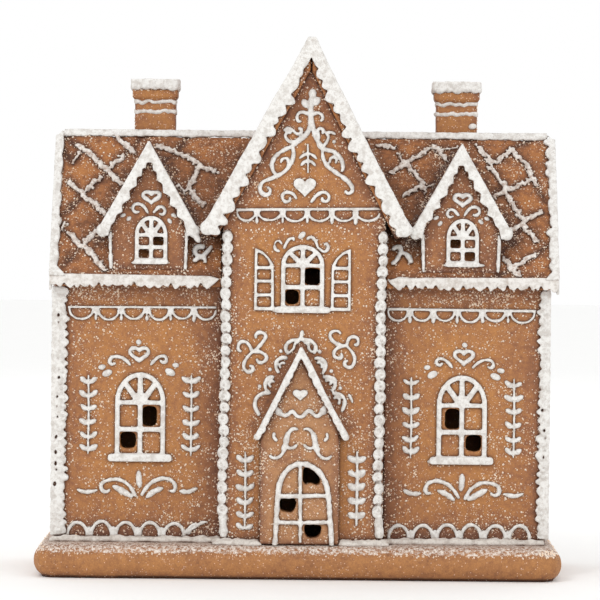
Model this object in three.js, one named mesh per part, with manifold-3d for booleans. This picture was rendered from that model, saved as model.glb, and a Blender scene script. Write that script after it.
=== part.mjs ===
// A gingerbread-house ornament: a hollow house of stiff baked-looking panels on a thick round-nosed board,
// with a tall gabled bay, a porch, two dormers, two chimneys and raised white piping.
// Millimetres, +Z up, the front towards -Y, the origin under the middle of the board.
import * as THREE from "three";
import { mergeVertices } from "three/addons/utils/BufferGeometryUtils.js";
import Module from "manifold-3d";

const wasm = await Module();
wasm.setup();

// ---------------------------------------------------------------- driving dimensions
const GAP = 0.3; // clearance between separate pieces
const WALL = 6; // thickness of a baked panel
const PIPING = 1.2; // how far a thin piped line stands off its panel
const ROOT = 0.6; // how deep fused piping is rooted in its panel
const COAT = 1.6; // how far a thick icing band stands off what it covers

const board = { halfWidth: 140, halfDepth: 63, height: 18, nose: 8, corner: 5 };
const wing = { x: 0.8, half: 131, front: -36, back: 48 };
const bay = { x: 1.8, half: 43, front: -48, back: 52 };
const roof = { x: 2.2, half: 133.6, eaveZ: 160, fasciaZ: 154, ridgeZ: 236, overhang: 8, thick: 6 };
const bayRoof = { apex: [5, 282.6], left: [-49.8, 183], right: [55.8, 182.6], thick: 6 };
const bayRoofEnds = { front: -52, back: 56 };
const dormer = { half: 20.4, front: -42.5, lip: 3.5, apexZ: 225.5, tipZ: 182, reach: 24.6, thick: 4 };
const dormerX = { left: -80.8, right: 85.2 };
const dormerCheek = 6.3; // thickness of the side walls of a dormer
const porch = { x: 0.7, half: 20.8, front: -55, lip: 2.5 };
const porchRoof = { apex: [0.9, 121], left: [-22.6, 74.4], right: [25.6, 74.4], thick: 3 };
const chimney = { halfWidth: 11, front: 9.2, depth: 18, neckZ: 254, topZ: 260.4, flare: 1.4 };
const chimneyCap = { lip: 1.2, height: 5.4, crown: 0.8 };
const chimneyX = { left: -79.8, right: 84.4 };
// Icing lying on the board at the foot of the walls: its width there, and its smaller steps round the bay.
const snow = { reach: 8, wave: 1.8, height: 2.4, cornerInset: 2, step: 5, inset: 2.4 };
const bead = { radius: 3, waist: 1.65, step: 6.04, count: 25, x: 41.3, bottomZ: 33, dripZ: 21.2 };

const ridgeY = (wing.front + wing.back) / 2;
const eaveY = wing.front - roof.overhang;
const backEaveY = wing.back + roof.overhang;
const run = ridgeY - eaveY;
const tangent = (roof.ridgeZ - roof.eaveZ) / run;
const pitch = Math.atan(tangent);
const slopeLength = Math.hypot(run, roof.ridgeZ - roof.eaveZ);
const roofDrop = roof.thick / Math.cos(pitch); // plumb thickness of a roof panel
const floorZ = board.height + GAP;
const wingTop = roof.eaveZ + roof.overhang * tangent - roofDrop - GAP;

const gingerbread = new THREE.MeshStandardMaterial({ color: 0xb98657, roughness: 0.75, metalness: 0 });
const roofGingerbread = new THREE.MeshStandardMaterial({ color: 0x9a7050, roughness: 0.75, metalness: 0 });
const icing = new THREE.MeshStandardMaterial({ color: 0xe9e8e2, roughness: 0.6, metalness: 0 });

// ---------------------------------------------------------------- solids
const degrees = THREE.MathUtils.degToRad;
const axisX = new THREE.Vector3(1, 0, 0);
const axisY = new THREE.Vector3(0, 1, 0);
const axisZ = new THREE.Vector3(0, 0, 1);

function solidOf(geometry) {
  const bare = new THREE.BufferGeometry().setAttribute("position", geometry.getAttribute("position"));
  if (geometry.index) bare.setIndex(geometry.index);
  const merged = mergeVertices(bare, 1e-4);
  const vertProperties = merged.attributes.position.array;
  const triVerts = new Uint32Array(merged.index.array);
  return new wasm.Manifold(new wasm.Mesh({ numProp: 3, vertProperties, triVerts }));
}

function geometryOf(solid) {
  const { vertProperties, triVerts } = solid.getMesh();
  const geometry = new THREE.BufferGeometry();
  geometry.setAttribute("position", new THREE.BufferAttribute(new Float32Array(vertProperties), 3));
  geometry.setIndex(new THREE.BufferAttribute(new Uint32Array(triVerts), 1));
  return geometry;
}

const join = (solids) => solids.reduce((sum, next) => sum.add(next));
const largestOf = (solid) => solid.decompose().sort((a, b) => b.volume() - a.volume())[0];
const cut = (solid, tools) => tools.reduce((left, tool) => left.subtract(tool), solid);

const polygon = (points) => new THREE.Shape(points.map(([x, y]) => new THREE.Vector2(x, y)));

function prism(shape, from, to, frame = new THREE.Matrix4()) {
  const geometry = new THREE.ExtrudeGeometry(shape, { depth: to - from, bevelEnabled: false });
  return solidOf(geometry.translate(0, 0, from).applyMatrix4(frame));
}

// A flat piece with openings right through it.
function pierced(shape, openings, from, to) {
  return cut(prism(shape, from, to), openings.map((points) => prism(polygon(points), from - 1, to + 1)));
}

// Outlines drawn in (y, z) are swept along X, and outlines drawn in (x, z) are swept along Y.
const sweptAlongX = new THREE.Matrix4().makeBasis(axisY, axisZ, axisX);
const sweptAlongY = new THREE.Matrix4().makeBasis(axisX, axisZ, axisY.clone().negate());
const alongX = (points, x0, x1) => prism(polygon(points), x0, x1, sweptAlongX);
const alongY = (points, y0, y1) => prism(polygon(points), -y1, -y0, sweptAlongY);
const rectangle = (x0, y0, x1, y1) => [[x0, y0], [x1, y0], [x1, y1], [x0, y1]];
const block = (x0, x1, y0, y1, z0, z1) => alongX(rectangle(y0, z0, y1, z1), x0, x1);
const ordered = (a, b) => [Math.min(a, b), Math.max(a, b)];
const between = (a, b, t) => [a[0] + (b[0] - a[0]) * t, a[1] + (b[1] - a[1]) * t];
const shifted = (points, dx, dy = 0) => points.map(([x, y]) => [x + dx, y + dy]);
const mirrored = (points) => points.map(([x, y]) => [-x, y]).reverse();

// ---------------------------------------------------------------- frames of the faces
// Local x runs along a wall, y up and z out of it; turn 0 is the front and 90 the right-hand side.
function wallFrame(turn, distance, shift = 0) {
  const moved = new THREE.Matrix4().makeTranslation(shift, -distance, 0);
  return new THREE.Matrix4().makeRotationZ(degrees(turn)).multiply(moved).multiply(sweptAlongY);
}

// Local y runs up the slope of the main roof from its eave, and z out of it.
function slopeFrame(back) {
  const way = back ? -1 : 1;
  const up = new THREE.Vector3(0, way * Math.cos(pitch), Math.sin(pitch));
  const out = new THREE.Vector3(0, -way * Math.sin(pitch), Math.cos(pitch));
  const along = new THREE.Vector3(way, 0, 0);
  return new THREE.Matrix4().makeBasis(along, up, out).setPosition(0, back ? backEaveY : eaveY, roof.eaveZ);
}

const house = new THREE.Group();
function face(frame) {
  const group = new THREE.Group();
  group.applyMatrix4(frame);
  house.add(group);
  return group;
}
const faces = {
  frontWing: face(wallFrame(0, -wing.front)),
  backWing: face(wallFrame(180, wing.back)),
  frontBay: face(wallFrame(0, -bay.front)),
  backBay: face(wallFrame(180, bay.back)),
  frontPorch: face(wallFrame(0, -porch.front)),
  frontDormer: face(wallFrame(0, -dormer.front)),
  leftSide: face(wallFrame(-90, wing.half - wing.x, -ridgeY)),
  rightSide: face(wallFrame(90, wing.half + wing.x, ridgeY)),
};

function addPart(name, solid, material, group = house) {
  const mesh = new THREE.Mesh(geometryOf(solid), material.clone());
  mesh.name = name;
  group.add(mesh);
}

// ---------------------------------------------------------------- outlines of piped icing
// A strand of icing along points, with a half width at each of them.
function strand(points, halfWidth) {
  const left = [];
  const right = [];
  points.forEach(([x, y], i) => {
    const before = points[Math.max(i - 1, 0)];
    const after = points[Math.min(i + 1, points.length - 1)];
    const length = Math.hypot(after[0] - before[0], after[1] - before[1]);
    const [nx, ny] = [-(after[1] - before[1]) / length, (after[0] - before[0]) / length];
    const w = halfWidth(i / (points.length - 1));
    left.push([x + nx * w, y + ny * w]);
    right.push([x - nx * w, y - ny * w]);
  });
  return polygon([...right, ...left.reverse()]);
}
const even = (w) => () => w;
const swelling = (middle, end = 0.5) => (t) => {
  return end + (middle - end) * Math.sin(Math.PI * Math.min(1, 0.2 + 0.9 * t));
};

// A line from one point to another with every second point pushed aside.
function wavedLine(from, to, [dx, dy], waves) {
  return Array.from({ length: 2 * waves + 1 }, (_, i) => {
    const [x, y] = between(from, to, i / (2 * waves));
    return i % 2 ? [x + dx, y + dy] : [x, y];
  });
}

// A curl starts at a point with a heading. Its bend goes evenly from one rate to another, in degrees a mm.
function curl(x, y, heading, length, bendFrom, bendTo, steps) {
  const points = [[x, y]];
  const step = length / steps;
  let angle = heading;
  for (let i = 0; i < steps; i++) {
    const half = ((bendFrom + ((bendTo - bendFrom) * (i + 0.5)) / steps) * step) / 2;
    angle += half;
    x += step * Math.cos(degrees(angle));
    y += step * Math.sin(degrees(angle));
    angle += half;
    points.push([x, y]);
  }
  return points;
}

// A curl and its mirror image, on both sides of a middle line.
function curlPair(x, y, points, halfWidth) {
  return [points, points.map(([px, py]) => [-px, py])].map((line) => strand(shifted(line, x, y), halfWidth));
}

// A leaf or drop of icing: pointed at its foot, blunt at its tip.
function leaf(x, y, length, width, heading) {
  const [c, s] = [Math.cos(degrees(heading)), Math.sin(degrees(heading))];
  const outline = [[0, 0], [0.62, -0.5], [1, 0], [0.62, 0.5]];
  const placed = outline.map(([l, w]) => [l * length * c - w * width * s, l * length * s + w * width * c]);
  return polygon(shifted(placed, x, y));
}
const leafPair = (x, y, dx, dy, length, width, heading) => [
  leaf(x + dx, y + dy, length, width, heading),
  leaf(x - dx, y + dy, length, width, 180 - heading),
];

function heartLine(x, y, width, height) {
  const steps = 10;
  return Array.from({ length: steps }, (_, i) => {
    const t = (-2 * Math.PI * i) / steps;
    const up = 13 * Math.cos(t) - 5 * Math.cos(2 * t) - 2 * Math.cos(3 * t) - Math.cos(4 * t);
    return [x + (width / 2) * Math.sin(t) ** 3, y + (height * (up + 2.5)) / 29];
  });
}
const heart = (x, y, width, height) => polygon(heartLine(x, y, width, height));
function openHeart(x, y, width, height, line) {
  const shape = heart(x, y, width, height);
  shape.holes.push(heart(x, y, width - 2.6 * line, height - 2.6 * line));
  return shape;
}

function dot(x, y, radius) {
  const turns = [0.5, 1.5, 2.5, 3.5, 4.5, 5.5].map((i) => (i * Math.PI) / 3);
  return polygon(turns.map((a) => [x + radius * Math.cos(a), y + radius * Math.sin(a)]));
}

// A rounded loop between two points of a level line: up as an arch, or with a rise below 0 down as a scallop.
function loop(x0, x1, y, rise, halfWidth) {
  const points = [0, 50, 130, 180].map(degrees).map((a) => {
    return [(x0 + x1) / 2 - ((x1 - x0) / 2) * Math.cos(a), y + rise * Math.sin(a) * 1.15];
  });
  return strand(points, even(halfWidth));
}

// A ruled line with hanging scallops, and a drop between each two.
function lace(x0, x1, y, { count, fall = 5.6, drops = true }) {
  const span = (x1 - x0) / count;
  const shapes = [polygon(rectangle(x0, y - 0.8, x1, y + 0.8))];
  for (let i = 0; i < count; i++) {
    shapes.push(loop(x0 + span * (i + 0.08), x0 + span * (i + 0.92), y - 1, -fall, 0.75));
    if (drops && i > 0) shapes.push(leaf(x0 + span * i, y - 2.2, 5.6, 1.9, -90));
  }
  return shapes;
}

// A row of arches standing over the icing at the foot of a wall.
function arcade(x0, x1, count) {
  const span = (x1 - x0) / count;
  const foot = floorZ + snow.height + 2 * GAP;
  return Array.from({ length: count }, (_, i) => {
    return loop(x0 + span * (i + 0.09), x0 + span * (i + 0.91), foot, 7.4, 0.85);
  });
}

// An upright spray: a stem with pairs of wedge-shaped leaves.
function spray(x, y0, y1, pairs) {
  const shapes = [polygon(rectangle(x - 0.7, y0, x + 0.7, y1))];
  for (let i = 0; i < pairs; i++) {
    const y = y0 + ((y1 - y0) * (i + 0.15)) / (pairs - 0.4);
    const wedge = [[0.9, 0], [5.2, 2.2], [4.2, 4.2]];
    shapes.push(polygon(shifted(wedge, x, y)), polygon(shifted(mirrored(wedge), x, y)));
  }
  return shapes;
}

// Over a wing window: a heart under a dot, between two curls and four leaves.
function windowCrown(x, y) {
  return [
    openHeart(x, y, 12, 9, 1.5),
    dot(x, y + 6.9, 1.6),
    ...curlPair(x, y, curl(3.4, -4.6, 8, 18, -5, 32, 6), swelling(0.95)),
    ...leafPair(x, y, 13.6, -8.6, 5.6, 3, -16),
    ...leafPair(x, y, 17.6, -6, 3.6, 2.2, -10),
  ];
}

// Under a wing window: a drop, two scrolls with a leaf in each, and two tails.
function sillOrnament(x, y) {
  return [
    leaf(x, y + 9.6, 8, 3, -90),
    ...curlPair(x, y, curl(1.2, -2.6, 42, 27, 0, -17, 7), swelling(1, 0.6)),
    ...leafPair(x, y, 4.4, -4, 11, 3.2, 20),
    ...leafPair(x, y, 24, -0.8, 9.6, 2.8, 8),
  ];
}

// Four curls from one middle.
function scrollCross(x, y, way) {
  const arms = [[28, 17, 3, 26], [112, 14, 10, 26], [226, 19, 3, 23], [-32, 14, -8, -26]];
  return arms.map(([heading, length, from, to]) => {
    const line = curl(0, 0, heading, length, from, to, 4).map(([px, py]) => [way * px, py]);
    return strand(shifted(line, x, y), swelling(1, 0.6));
  });
}

// In the tall gable: a bud on a stem over two branching arms, a small tree, a heart and two curls.
function gableOrnament(x, y) {
  return [
    dot(x, y + 50.6, 2.2),
    leaf(x, y + 27, 20, 3.2, 90),
    ...leafPair(x, y, 1.6, 42, 7, 3.4, 50),
    ...curlPair(x, y, curl(2, 37.5, 8, 11, -2, -38, 5), swelling(0.9)),
    ...curlPair(x, y, curl(0.9, 28, -48, 45, -1, -1.6, 6), swelling(1.4, 0.6)),
    ...curlPair(x, y, curl(11.4, 19.6, 0, 13, 12, 30, 5), swelling(0.9)),
    ...curlPair(x, y, curl(16.6, 8.6, 24, 14, -10, -28, 5), swelling(0.9)),
    ...curlPair(x, y, curl(9.4, 13.6, 178, 10, -6, -46, 5), swelling(0.9)),
    leaf(x, y + 4.5, 17, 1.9, 90),
    ...leafPair(x, y, 1, 8.5, 5.4, 1.7, 42),
    ...leafPair(x, y, 1, 13, 4.2, 1.7, 42),
    heart(x, y - 4.5, 12.5, 10.5),
    ...curlPair(x, y, curl(3, -13.4, 36, 14, -4, -32, 6), swelling(0.9)),
  ];
}

// ---------------------------------------------------------------- windows and the door
function archPoints(half, spring, rise, steps, from = 0, to = 180) {
  return Array.from({ length: steps + 1 }, (_, i) => {
    const a = degrees(from + ((to - from) * i) / steps);
    return [half * Math.cos(a), spring + rise * Math.sin(a)];
  });
}

// A fan window: an arch of four radial lights over two rows of two panes, on a sill.
function fanWindow({ half, sillZ, midZ, springZ, topZ, bar, sillHalf, sillHeight }) {
  const rise = topZ - springZ;
  const [innerX, innerZ, low] = [half - bar, rise - bar, bar / 2];
  const hub = 3.4 / innerX; // share of the radius that the hub of the fan takes
  const lights = [0, 1, 2, 3].map((i) => {
    const trim = THREE.MathUtils.radToDeg((0.45 * bar) / innerX);
    const at = (share, angle) => {
      const a = degrees(angle);
      return [share * innerX * Math.cos(a), springZ + low + share * innerZ * Math.sin(a)];
    };
    const [a, b] = [45 * i, 45 * (i + 1)];
    const outer = 1 - low / innerX;
    return [at(hub, (a + b) / 2), at(outer, a + trim), at(outer, b - trim)];
  });
  const row = (z0, z1) => [rectangle(-innerX, z0, -low, z1), rectangle(low, z0, innerX, z1)];
  const [lowLeft, lowRight] = row(sillZ + 0.4, midZ - low);
  const [highLeft, highRight] = row(midZ + low, springZ - low);
  const outline = [[-half, sillZ - 1], [half, sillZ - 1], ...archPoints(half, springZ, rise, 6)];
  const panes = [...lights, lowLeft, lowRight, highLeft, highRight];
  const sill = rectangle(-sillHalf, sillZ - sillHeight, sillHalf, sillZ);
  return { outline, panes, sill, open: [lowLeft, highRight] };
}
const wingWindow = fanWindow({
  half: 13.4, sillZ: 64.4, midZ: 77.6, springZ: 92, topZ: 108, bar: 2.3, sillHalf: 17, sillHeight: 5,
});
const bayWindow = fanWindow({
  half: 11.4, sillZ: 144, midZ: 154.4, springZ: 166, topZ: 176.8, bar: 2.1, sillHalf: 15.2, sillHeight: 4.2,
});
const dormerWindow = fanWindow({
  half: 8.8, sillZ: 168.6, midZ: 174.8, springZ: 181.4, topZ: 191.4, bar: 1.8, sillHalf: 9.6, sillHeight: 2.8,
});
const bayWindowX = 1.3;

// The open panes of a window along a wall: low left and high right, or with way -1 the mirror image.
const opensIn = ({ open }, x, way) => open.map((pane) => shifted(way > 0 ? pane : mirrored(pane), x));
function frameSolid({ outline, panes, sill }) {
  return pierced(polygon(outline), panes, GAP, COAT).add(prism(polygon(sill), GAP, COAT + 1.4));
}
function addWindow(name, window, x, group, extras = []) {
  const frame = new THREE.Group();
  frame.position.x = x;
  group.add(frame);
  addPart(name, join([frameSolid(window), ...extras]), icing, frame);
}

// A shutter of three bars beside the bay window, its top swept up to its outer edge.
const shutterSize = { inner: 15, outer: 25.2, z0: 142, shoulder: 167, z1: 175, bar: 1.5, light: 7 };
function shutter(way) {
  const { inner, outer, z0, shoulder, z1, bar, light } = shutterSize;
  const sweep = [90, 60, 30, 0].map(degrees).map((a) => {
    return [inner + (outer - inner) * Math.sin(a), z1 - (z1 - shoulder) * (1 - Math.sin(a))];
  });
  const lights = [0, 1, 2].map((i) => {
    return rectangle(inner + bar, z0 + bar + light * i, outer - bar, z0 + light * (i + 1));
  });
  const turned = (points) => points.map(([x, z]) => [way * x, z]);
  return pierced(polygon(turned([[inner, z0], [outer, z0], ...sweep])), lights.map(turned), GAP, COAT);
}

// The door: a tall arch of six lights, three of them open.
const door = { x: 3.4, half: 16, springZ: 40, topZ: 62.6, bar: 2.7, mullion: 0.6 };
const doorRows = { low: 30, high: 44.2, halfBar: 1.1, step: 1.6 };
function doorLights() {
  const { halfBar, step } = doorRows;
  const [x0, x1] = [door.x - door.half + door.bar, door.x + door.half - door.bar];
  const [left, right] = [door.mullion - halfBar, door.mullion + halfBar];
  const [foot, low, high] = [floorZ + step, doorRows.low - halfBar, doorRows.low + halfBar];
  const [under, over] = [doorRows.high - halfBar, doorRows.high + halfBar];
  const [innerX, rise] = [door.half - door.bar, door.topZ - door.bar - door.springZ];
  const toRow = THREE.MathUtils.radToDeg(Math.asin((over - door.springZ) / rise));
  const toMullion = (x) => THREE.MathUtils.radToDeg(Math.acos((x - door.x) / innerX));
  const arch = (from, to) => shifted(archPoints(innerX, door.springZ, rise, 4, from, to), door.x);
  const highRight = [[right, over], ...arch(toRow, toMullion(right))];
  const highLeft = [...arch(toMullion(left), 180 - toRow), [left, over]];
  return {
    open: [rectangle(right, foot, x1, low), rectangle(x0, high, left, under), highRight],
    shut: [rectangle(x0, foot, left, low), rectangle(right, high, x1, under), highLeft],
  };
}

// ---------------------------------------------------------------- gables
// The lines of a gable moved out of the roof by a distance: its left tip, peak and right tip.
function gableLine({ apex, left, right }, out) {
  const slope = (tip) => (apex[1] - tip[1]) / (apex[0] - tip[0]);
  const [ml, mr] = [slope(left), slope(right)];
  const moved = (tip, m) => [tip[0] - (out * m) / Math.hypot(1, m), tip[1] + out / Math.hypot(1, m)];
  const dx = (out * (Math.hypot(1, mr) - Math.hypot(1, ml))) / (ml - mr);
  return [moved(left, ml), [apex[0] + dx, apex[1] + ml * dx + out * Math.hypot(1, ml)], moved(right, mr)];
}
const onLine = (a, b, x) => a[1] + ((b[1] - a[1]) * (x - a[0])) / (b[0] - a[0]);

// Both panels of a gabled roof in one outline, between two distances from its top lines.
function chevron(gable, top, bottom) {
  return [...gableLine(gable, bottom), ...gableLine(gable, top).reverse()];
}

// One panel of a gabled roof, up to a plumb joint at its peak.
function slabOutline(gable, side) {
  const tipSide = side < 0 ? 0 : 2;
  const top = gableLine(gable, 0);
  const low = gableLine(gable, -gable.thick);
  const joint = gable.apex[0] + (side * GAP) / 2;
  const [lowTip, topTip] = [low[tipSide], top[tipSide]];
  return [lowTip, [joint, onLine(lowTip, low[1], joint)], [joint, onLine(topTip, top[1], joint)], topTip];
}

// The icing on an end of a gabled roof: a band with a waved inner edge, that laps over the top of the panels.
function gableIcing(gable, { end, inside, wave, waves, lap, way = -1 }) {
  const outer = gableLine(gable, GAP + COAT);
  const crests = gableLine(gable, -inside + wave);
  const troughs = gableLine(gable, -inside);
  const edge = (from, to) =>
    Array.from({ length: 2 * waves + 1 }, (_, i) => {
      const line = i % 2 ? crests : troughs;
      return between(line[from], line[to], i / (2 * waves));
    });
  const outline = [outer[0], ...edge(0, 1), ...edge(1, 2).slice(1), outer[2], outer[1]];
  const ends = (near, far) => ordered(end + way * near, end + way * far);
  const plate = alongY(outline, ...ends(GAP, GAP + COAT));
  const strip = alongY(chevron(gable, GAP + COAT, GAP), ...ends(-lap, GAP + COAT));
  return plate.add(strip);
}

// A wall under a gabled roof, from a floor up to the underside of the panels.
function gableWall(gable, x0, x1, floor, under) {
  const [left, peak, right] = gableLine(gable, -under);
  return [[x0, floor], [x1, floor], [x1, onLine(right, peak, x1)], peak, [x0, onLine(left, peak, x0)]];
}

// ---------------------------------------------------------------- the spaces that pieces are cut by
const wide = 2 * board.halfWidth;
const belowMainRoof = (clear) => {
  const lift = clear / Math.cos(pitch);
  const low = roof.eaveZ - roof.overhang * tangent + lift;
  const [y0, y1] = [eaveY - roof.overhang, backEaveY + roof.overhang];
  return alongX([[y0, 0], [y1, 0], [y1, low], [ridgeY, roof.ridgeZ + lift], [y0, low]], -wide, wide);
};

// The bay with its walls and roof, grown by a clearance.
function bayEnvelope(clear) {
  const top = gableLine(bayRoof, clear);
  const low = gableLine(bayRoof, -bayRoof.thick - clear);
  const [x0, x1] = [bay.x - bay.half - clear, bay.x + bay.half + clear];
  const outline = [[x0, 0], [x1, 0], [x1, onLine(low[2], low[1], x1)], low[2], top[2], top[1], top[0], low[0],
    [x0, onLine(low[0], low[1], x0)]];
  return alongY(outline, -board.halfDepth, board.halfDepth);
}
function dormerGable(x) {
  const { apexZ, tipZ, reach, thick } = dormer;
  return { apex: [x, apexZ], left: [x - reach, tipZ], right: [x + reach, tipZ], thick };
}
function dormerEnvelope(x, clear) {
  const [left, peak, right] = gableLine(dormerGable(x), COAT + clear);
  return alongY([[left[0], 0], [right[0], 0], right, peak, left], -board.halfDepth, ridgeY);
}
const mainRoofSpace = belowMainRoof(GAP);
const baySpace = bayEnvelope(GAP);

// ---------------------------------------------------------------- the parts
function addBoard() {
  const { halfWidth, halfDepth, height, nose, corner } = board;
  const [w, d] = [halfWidth - nose - corner, halfDepth - nose - corner];
  const outline = new THREE.Shape();
  [[w, -d, -90], [w, d, 0], [-w, d, 90], [-w, -d, 180]].forEach(([x, y, turn]) => {
    outline.absarc(x, y, corner, degrees(turn), degrees(turn + 90), false);
  });
  const depth = height - 2 * nose;
  const bevel = { bevelThickness: nose, bevelSize: nose, bevelSegments: 3 };
  const geometry = new THREE.ExtrudeGeometry(outline, { depth, curveSegments: 1, ...bevel });
  addPart("board", solidOf(geometry.translate(0, 0, nose)), gingerbread);
}

// A panel in its own frame: its outline with open panes, and piping fused to its face inside its edges.
function panel(points, panes, piping, thickness = WALL) {
  const relief = join(piping.map((outline) => prism(outline, -ROOT, PIPING)));
  const onPanel = relief.intersect(prism(polygon(points), -ROOT, PIPING));
  return pierced(polygon(points), panes, -thickness, 0).add(onPanel);
}

const [wingEnds, bayEnds] = [wing, bay].map(({ x, half }) => [x - half, x + half]);
const wingSides = {
  left: { x0: wingEnds[0], x1: bayEnds[0] - GAP, windowX: -84.6, way: 1, laceX: [-123.8, -44.9] },
  right: { x0: bayEnds[1] + GAP, x1: wingEnds[1], windowX: 86.8, way: -1, laceX: [48.8, 125.2] },
};
const laceZ = 142.6; // the ruled line of the scallops on the wings

function addFrontWings() {
  Object.entries(wingSides).forEach(([side, { x0, x1, windowX, way, laceX }]) => {
    const piping = [
      ...lace(...laceX, laceZ, { count: 6 }),
      ...arcade(...laceX, 6),
      ...windowCrown(windowX, 117.4),
      ...sillOrnament(windowX, 44.4),
      ...[-27.8, 28].flatMap((dx) => spray(windowX + dx, 63.5, 104, 6)),
    ];
    const walls = panel(rectangle(x0, floorZ, x1, wingTop), opensIn(wingWindow, windowX, way), piping);
    addPart(`front_wall_${side}`, walls, gingerbread, faces.frontWing);
    addWindow(`window_front_${side}`, wingWindow, windowX, faces.frontWing);
  });
}

function addBackWings() {
  Object.entries(wingSides).forEach(([side, { x0, x1, windowX, laceX }]) => {
    const piping = lace(-laceX[1], -laceX[0], laceZ, { count: 4, fall: 7, drops: false });
    const walls = panel(rectangle(-x1, floorZ, -x0, wingTop), [], piping);
    addPart(`back_wall_${side}`, walls, gingerbread, faces.backWing);
    addWindow(`window_back_${side}`, wingWindow, -windowX, faces.backWing);
  });
}

function addSideWalls() {
  const half = (wing.back - wing.front) / 2 - WALL - GAP;
  const under = (y) => roof.ridgeZ - y * tangent - roofDrop - 2 * GAP;
  const outline = [[-half, floorZ], [half, floorZ], [half, under(half)], [0, under(0)], [-half, under(half)]];
  [["left", faces.leftSide], ["right", faces.rightSide]].forEach(([side, group]) => {
    const piping = [
      ...lace(-half + 5, half - 5, laceZ, { count: 4, fall: 7, drops: false }),
      heart(0, 176, 14, 11),
    ];
    addPart(`side_wall_${side}`, panel(outline, opensIn(wingWindow, 0, 1), piping), gingerbread, group);
    addWindow(`window_side_${side}`, wingWindow, 0, group);
  });
}

// The piping on the front of the bay: round the porch roof, beside the door, and in the gable.
function bayPiping() {
  const porchSurround = [-1, 1].flatMap((side) => {
    const [left, peak, right] = gableLine(porchRoof, 4.4);
    const tip = side < 0 ? left : right;
    return [0.06, 0.29, 0.52, 0.75].map((t) => {
      const [a, b] = [between(tip, peak, t), between(tip, peak, t + 0.19)];
      const [middle] = shifted([between(a, b, 0.5)], side * 3.2, 1.6);
      return strand([a, middle, b], even(0.8));
    });
  });
  return [
    ...lace(-33.6, 42.4, 195.4, { count: 6, fall: 5 }),
    ...scrollCross(-24.6, 121.5, 1),
    ...scrollCross(25.8, 123.8, -1),
    ...spray(-28.8, 28, 67, 6),
    ...spray(30.4, 29, 67, 6),
    leaf(1.4, 127, 7, 2.4, 90),
    ...porchSurround,
    ...gableOrnament(4, 207),
  ];
}

function addBay() {
  const outline = gableWall(bayRoof, ...bayEnds, floorZ, bayRoof.thick + GAP);
  const panes = [...opensIn(bayWindow, bayWindowX, 1), ...doorLights().open];
  addPart("bay_wall_front", panel(outline, panes, bayPiping()), gingerbread, faces.frontBay);
  addWindow("window_bay_front", bayWindow, bayWindowX, faces.frontBay, [shutter(-1), shutter(1)]);

  const backLace = lace(-42.4, 33.6, 195.4, { count: 3, fall: 6, drops: false });
  const backPanel = panel(mirrored(outline), [], [...backLace, heart(-4, 212, 16, 13)]);
  addPart("bay_wall_back", backPanel, gingerbread, faces.backBay);
  addWindow("window_bay_back", bayWindow, -bayWindowX, faces.backBay, [shutter(-1), shutter(1)]);
  addWindow("window_back_middle", wingWindow, -bay.x, faces.backBay);

  const [y0, y1] = [bay.front + WALL + GAP, bay.back - WALL - GAP];
  [[-1, "left"], [1, "right"]].forEach(([side, name]) => {
    const outer = bay.x + side * bay.half;
    const line = gableLine(bayRoof, -bayRoof.thick - GAP);
    const top = onLine(line[side < 0 ? 0 : 2], line[1], outer);
    const wall = block(...ordered(outer, outer - side * WALL), y0, y1, floorZ, top);
    addPart(`bay_wall_${name}`, wall, gingerbread);
    const slab = alongY(slabOutline(bayRoof, side), bayRoofEnds.front, bayRoofEnds.back);
    addPart(`bay_roof_${name}`, slab, roofGingerbread);
  });
  const icingBand = { inside: 7, wave: 1.6, waves: 8, lap: 6 };
  addPart("gable_icing_front", gableIcing(bayRoof, { end: bayRoofEnds.front, ...icingBand }), icing);
  addPart("gable_icing_back", gableIcing(bayRoof, { end: bayRoofEnds.back, way: 1, ...icingBand }), icing);
}

// The strong diagonals of the worn lattice piped on the front of the main roof, falling to the right.
function roofLines(frame) {
  const [spacing, slant, halfWidth, height] = [27, 82, 1, 0.9];
  const count = Math.ceil(board.halfWidth / spacing);
  const lines = Array.from({ length: 2 * count + 4 }, (_, i) => {
    const x = (i - count) * spacing;
    return prism(strand([[x, 0], [x - slant, slopeLength]], even(halfWidth)), -ROOT, height, frame);
  });
  return join(lines);
}

function addMainRoof() {
  const top = (y) => roof.eaveZ + (y - eaveY) * tangent;
  const joint = ridgeY - GAP / 2;
  const soffitY = eaveY + (roof.fasciaZ - roof.eaveZ + roofDrop) / tangent;
  const outline = [[eaveY, roof.fasciaZ], [soffitY, roof.fasciaZ], [joint, top(joint) - roofDrop],
    [joint, top(joint)], [eaveY, roof.eaveZ]];
  const backOutline = outline.map(([y, z]) => [2 * ridgeY - y, z]).reverse();
  const [left, right] = [roof.x - roof.half, roof.x + roof.half];
  const frame = slopeFrame(false);
  const margin = { end: 7.6, eave: 3, ridge: 7 };
  const edges = rectangle(left + margin.end, margin.eave, right - margin.end, slopeLength - margin.ridge);
  const field = prism(polygon(edges), -WALL, WALL, frame);
  const dormers = Object.values(dormerX).map((x) => dormerEnvelope(x, 1));
  const lines = cut(roofLines(frame).intersect(field), [bayEnvelope(COAT), ...dormers]);
  [["left", left, bay.x], ["right", bay.x, right]].forEach(([side, x0, x1]) => {
    const half = block(x0, x1, -board.halfDepth, board.halfDepth, 0, wide);
    const front = alongX(outline, x0, x1).add(lines.intersect(half));
    addPart(`roof_front_${side}`, largestOf(front.subtract(baySpace)), roofGingerbread);
    addPart(`roof_back_${side}`, alongX(backOutline, x0, x1).subtract(baySpace), roofGingerbread);
  });
}

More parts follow.
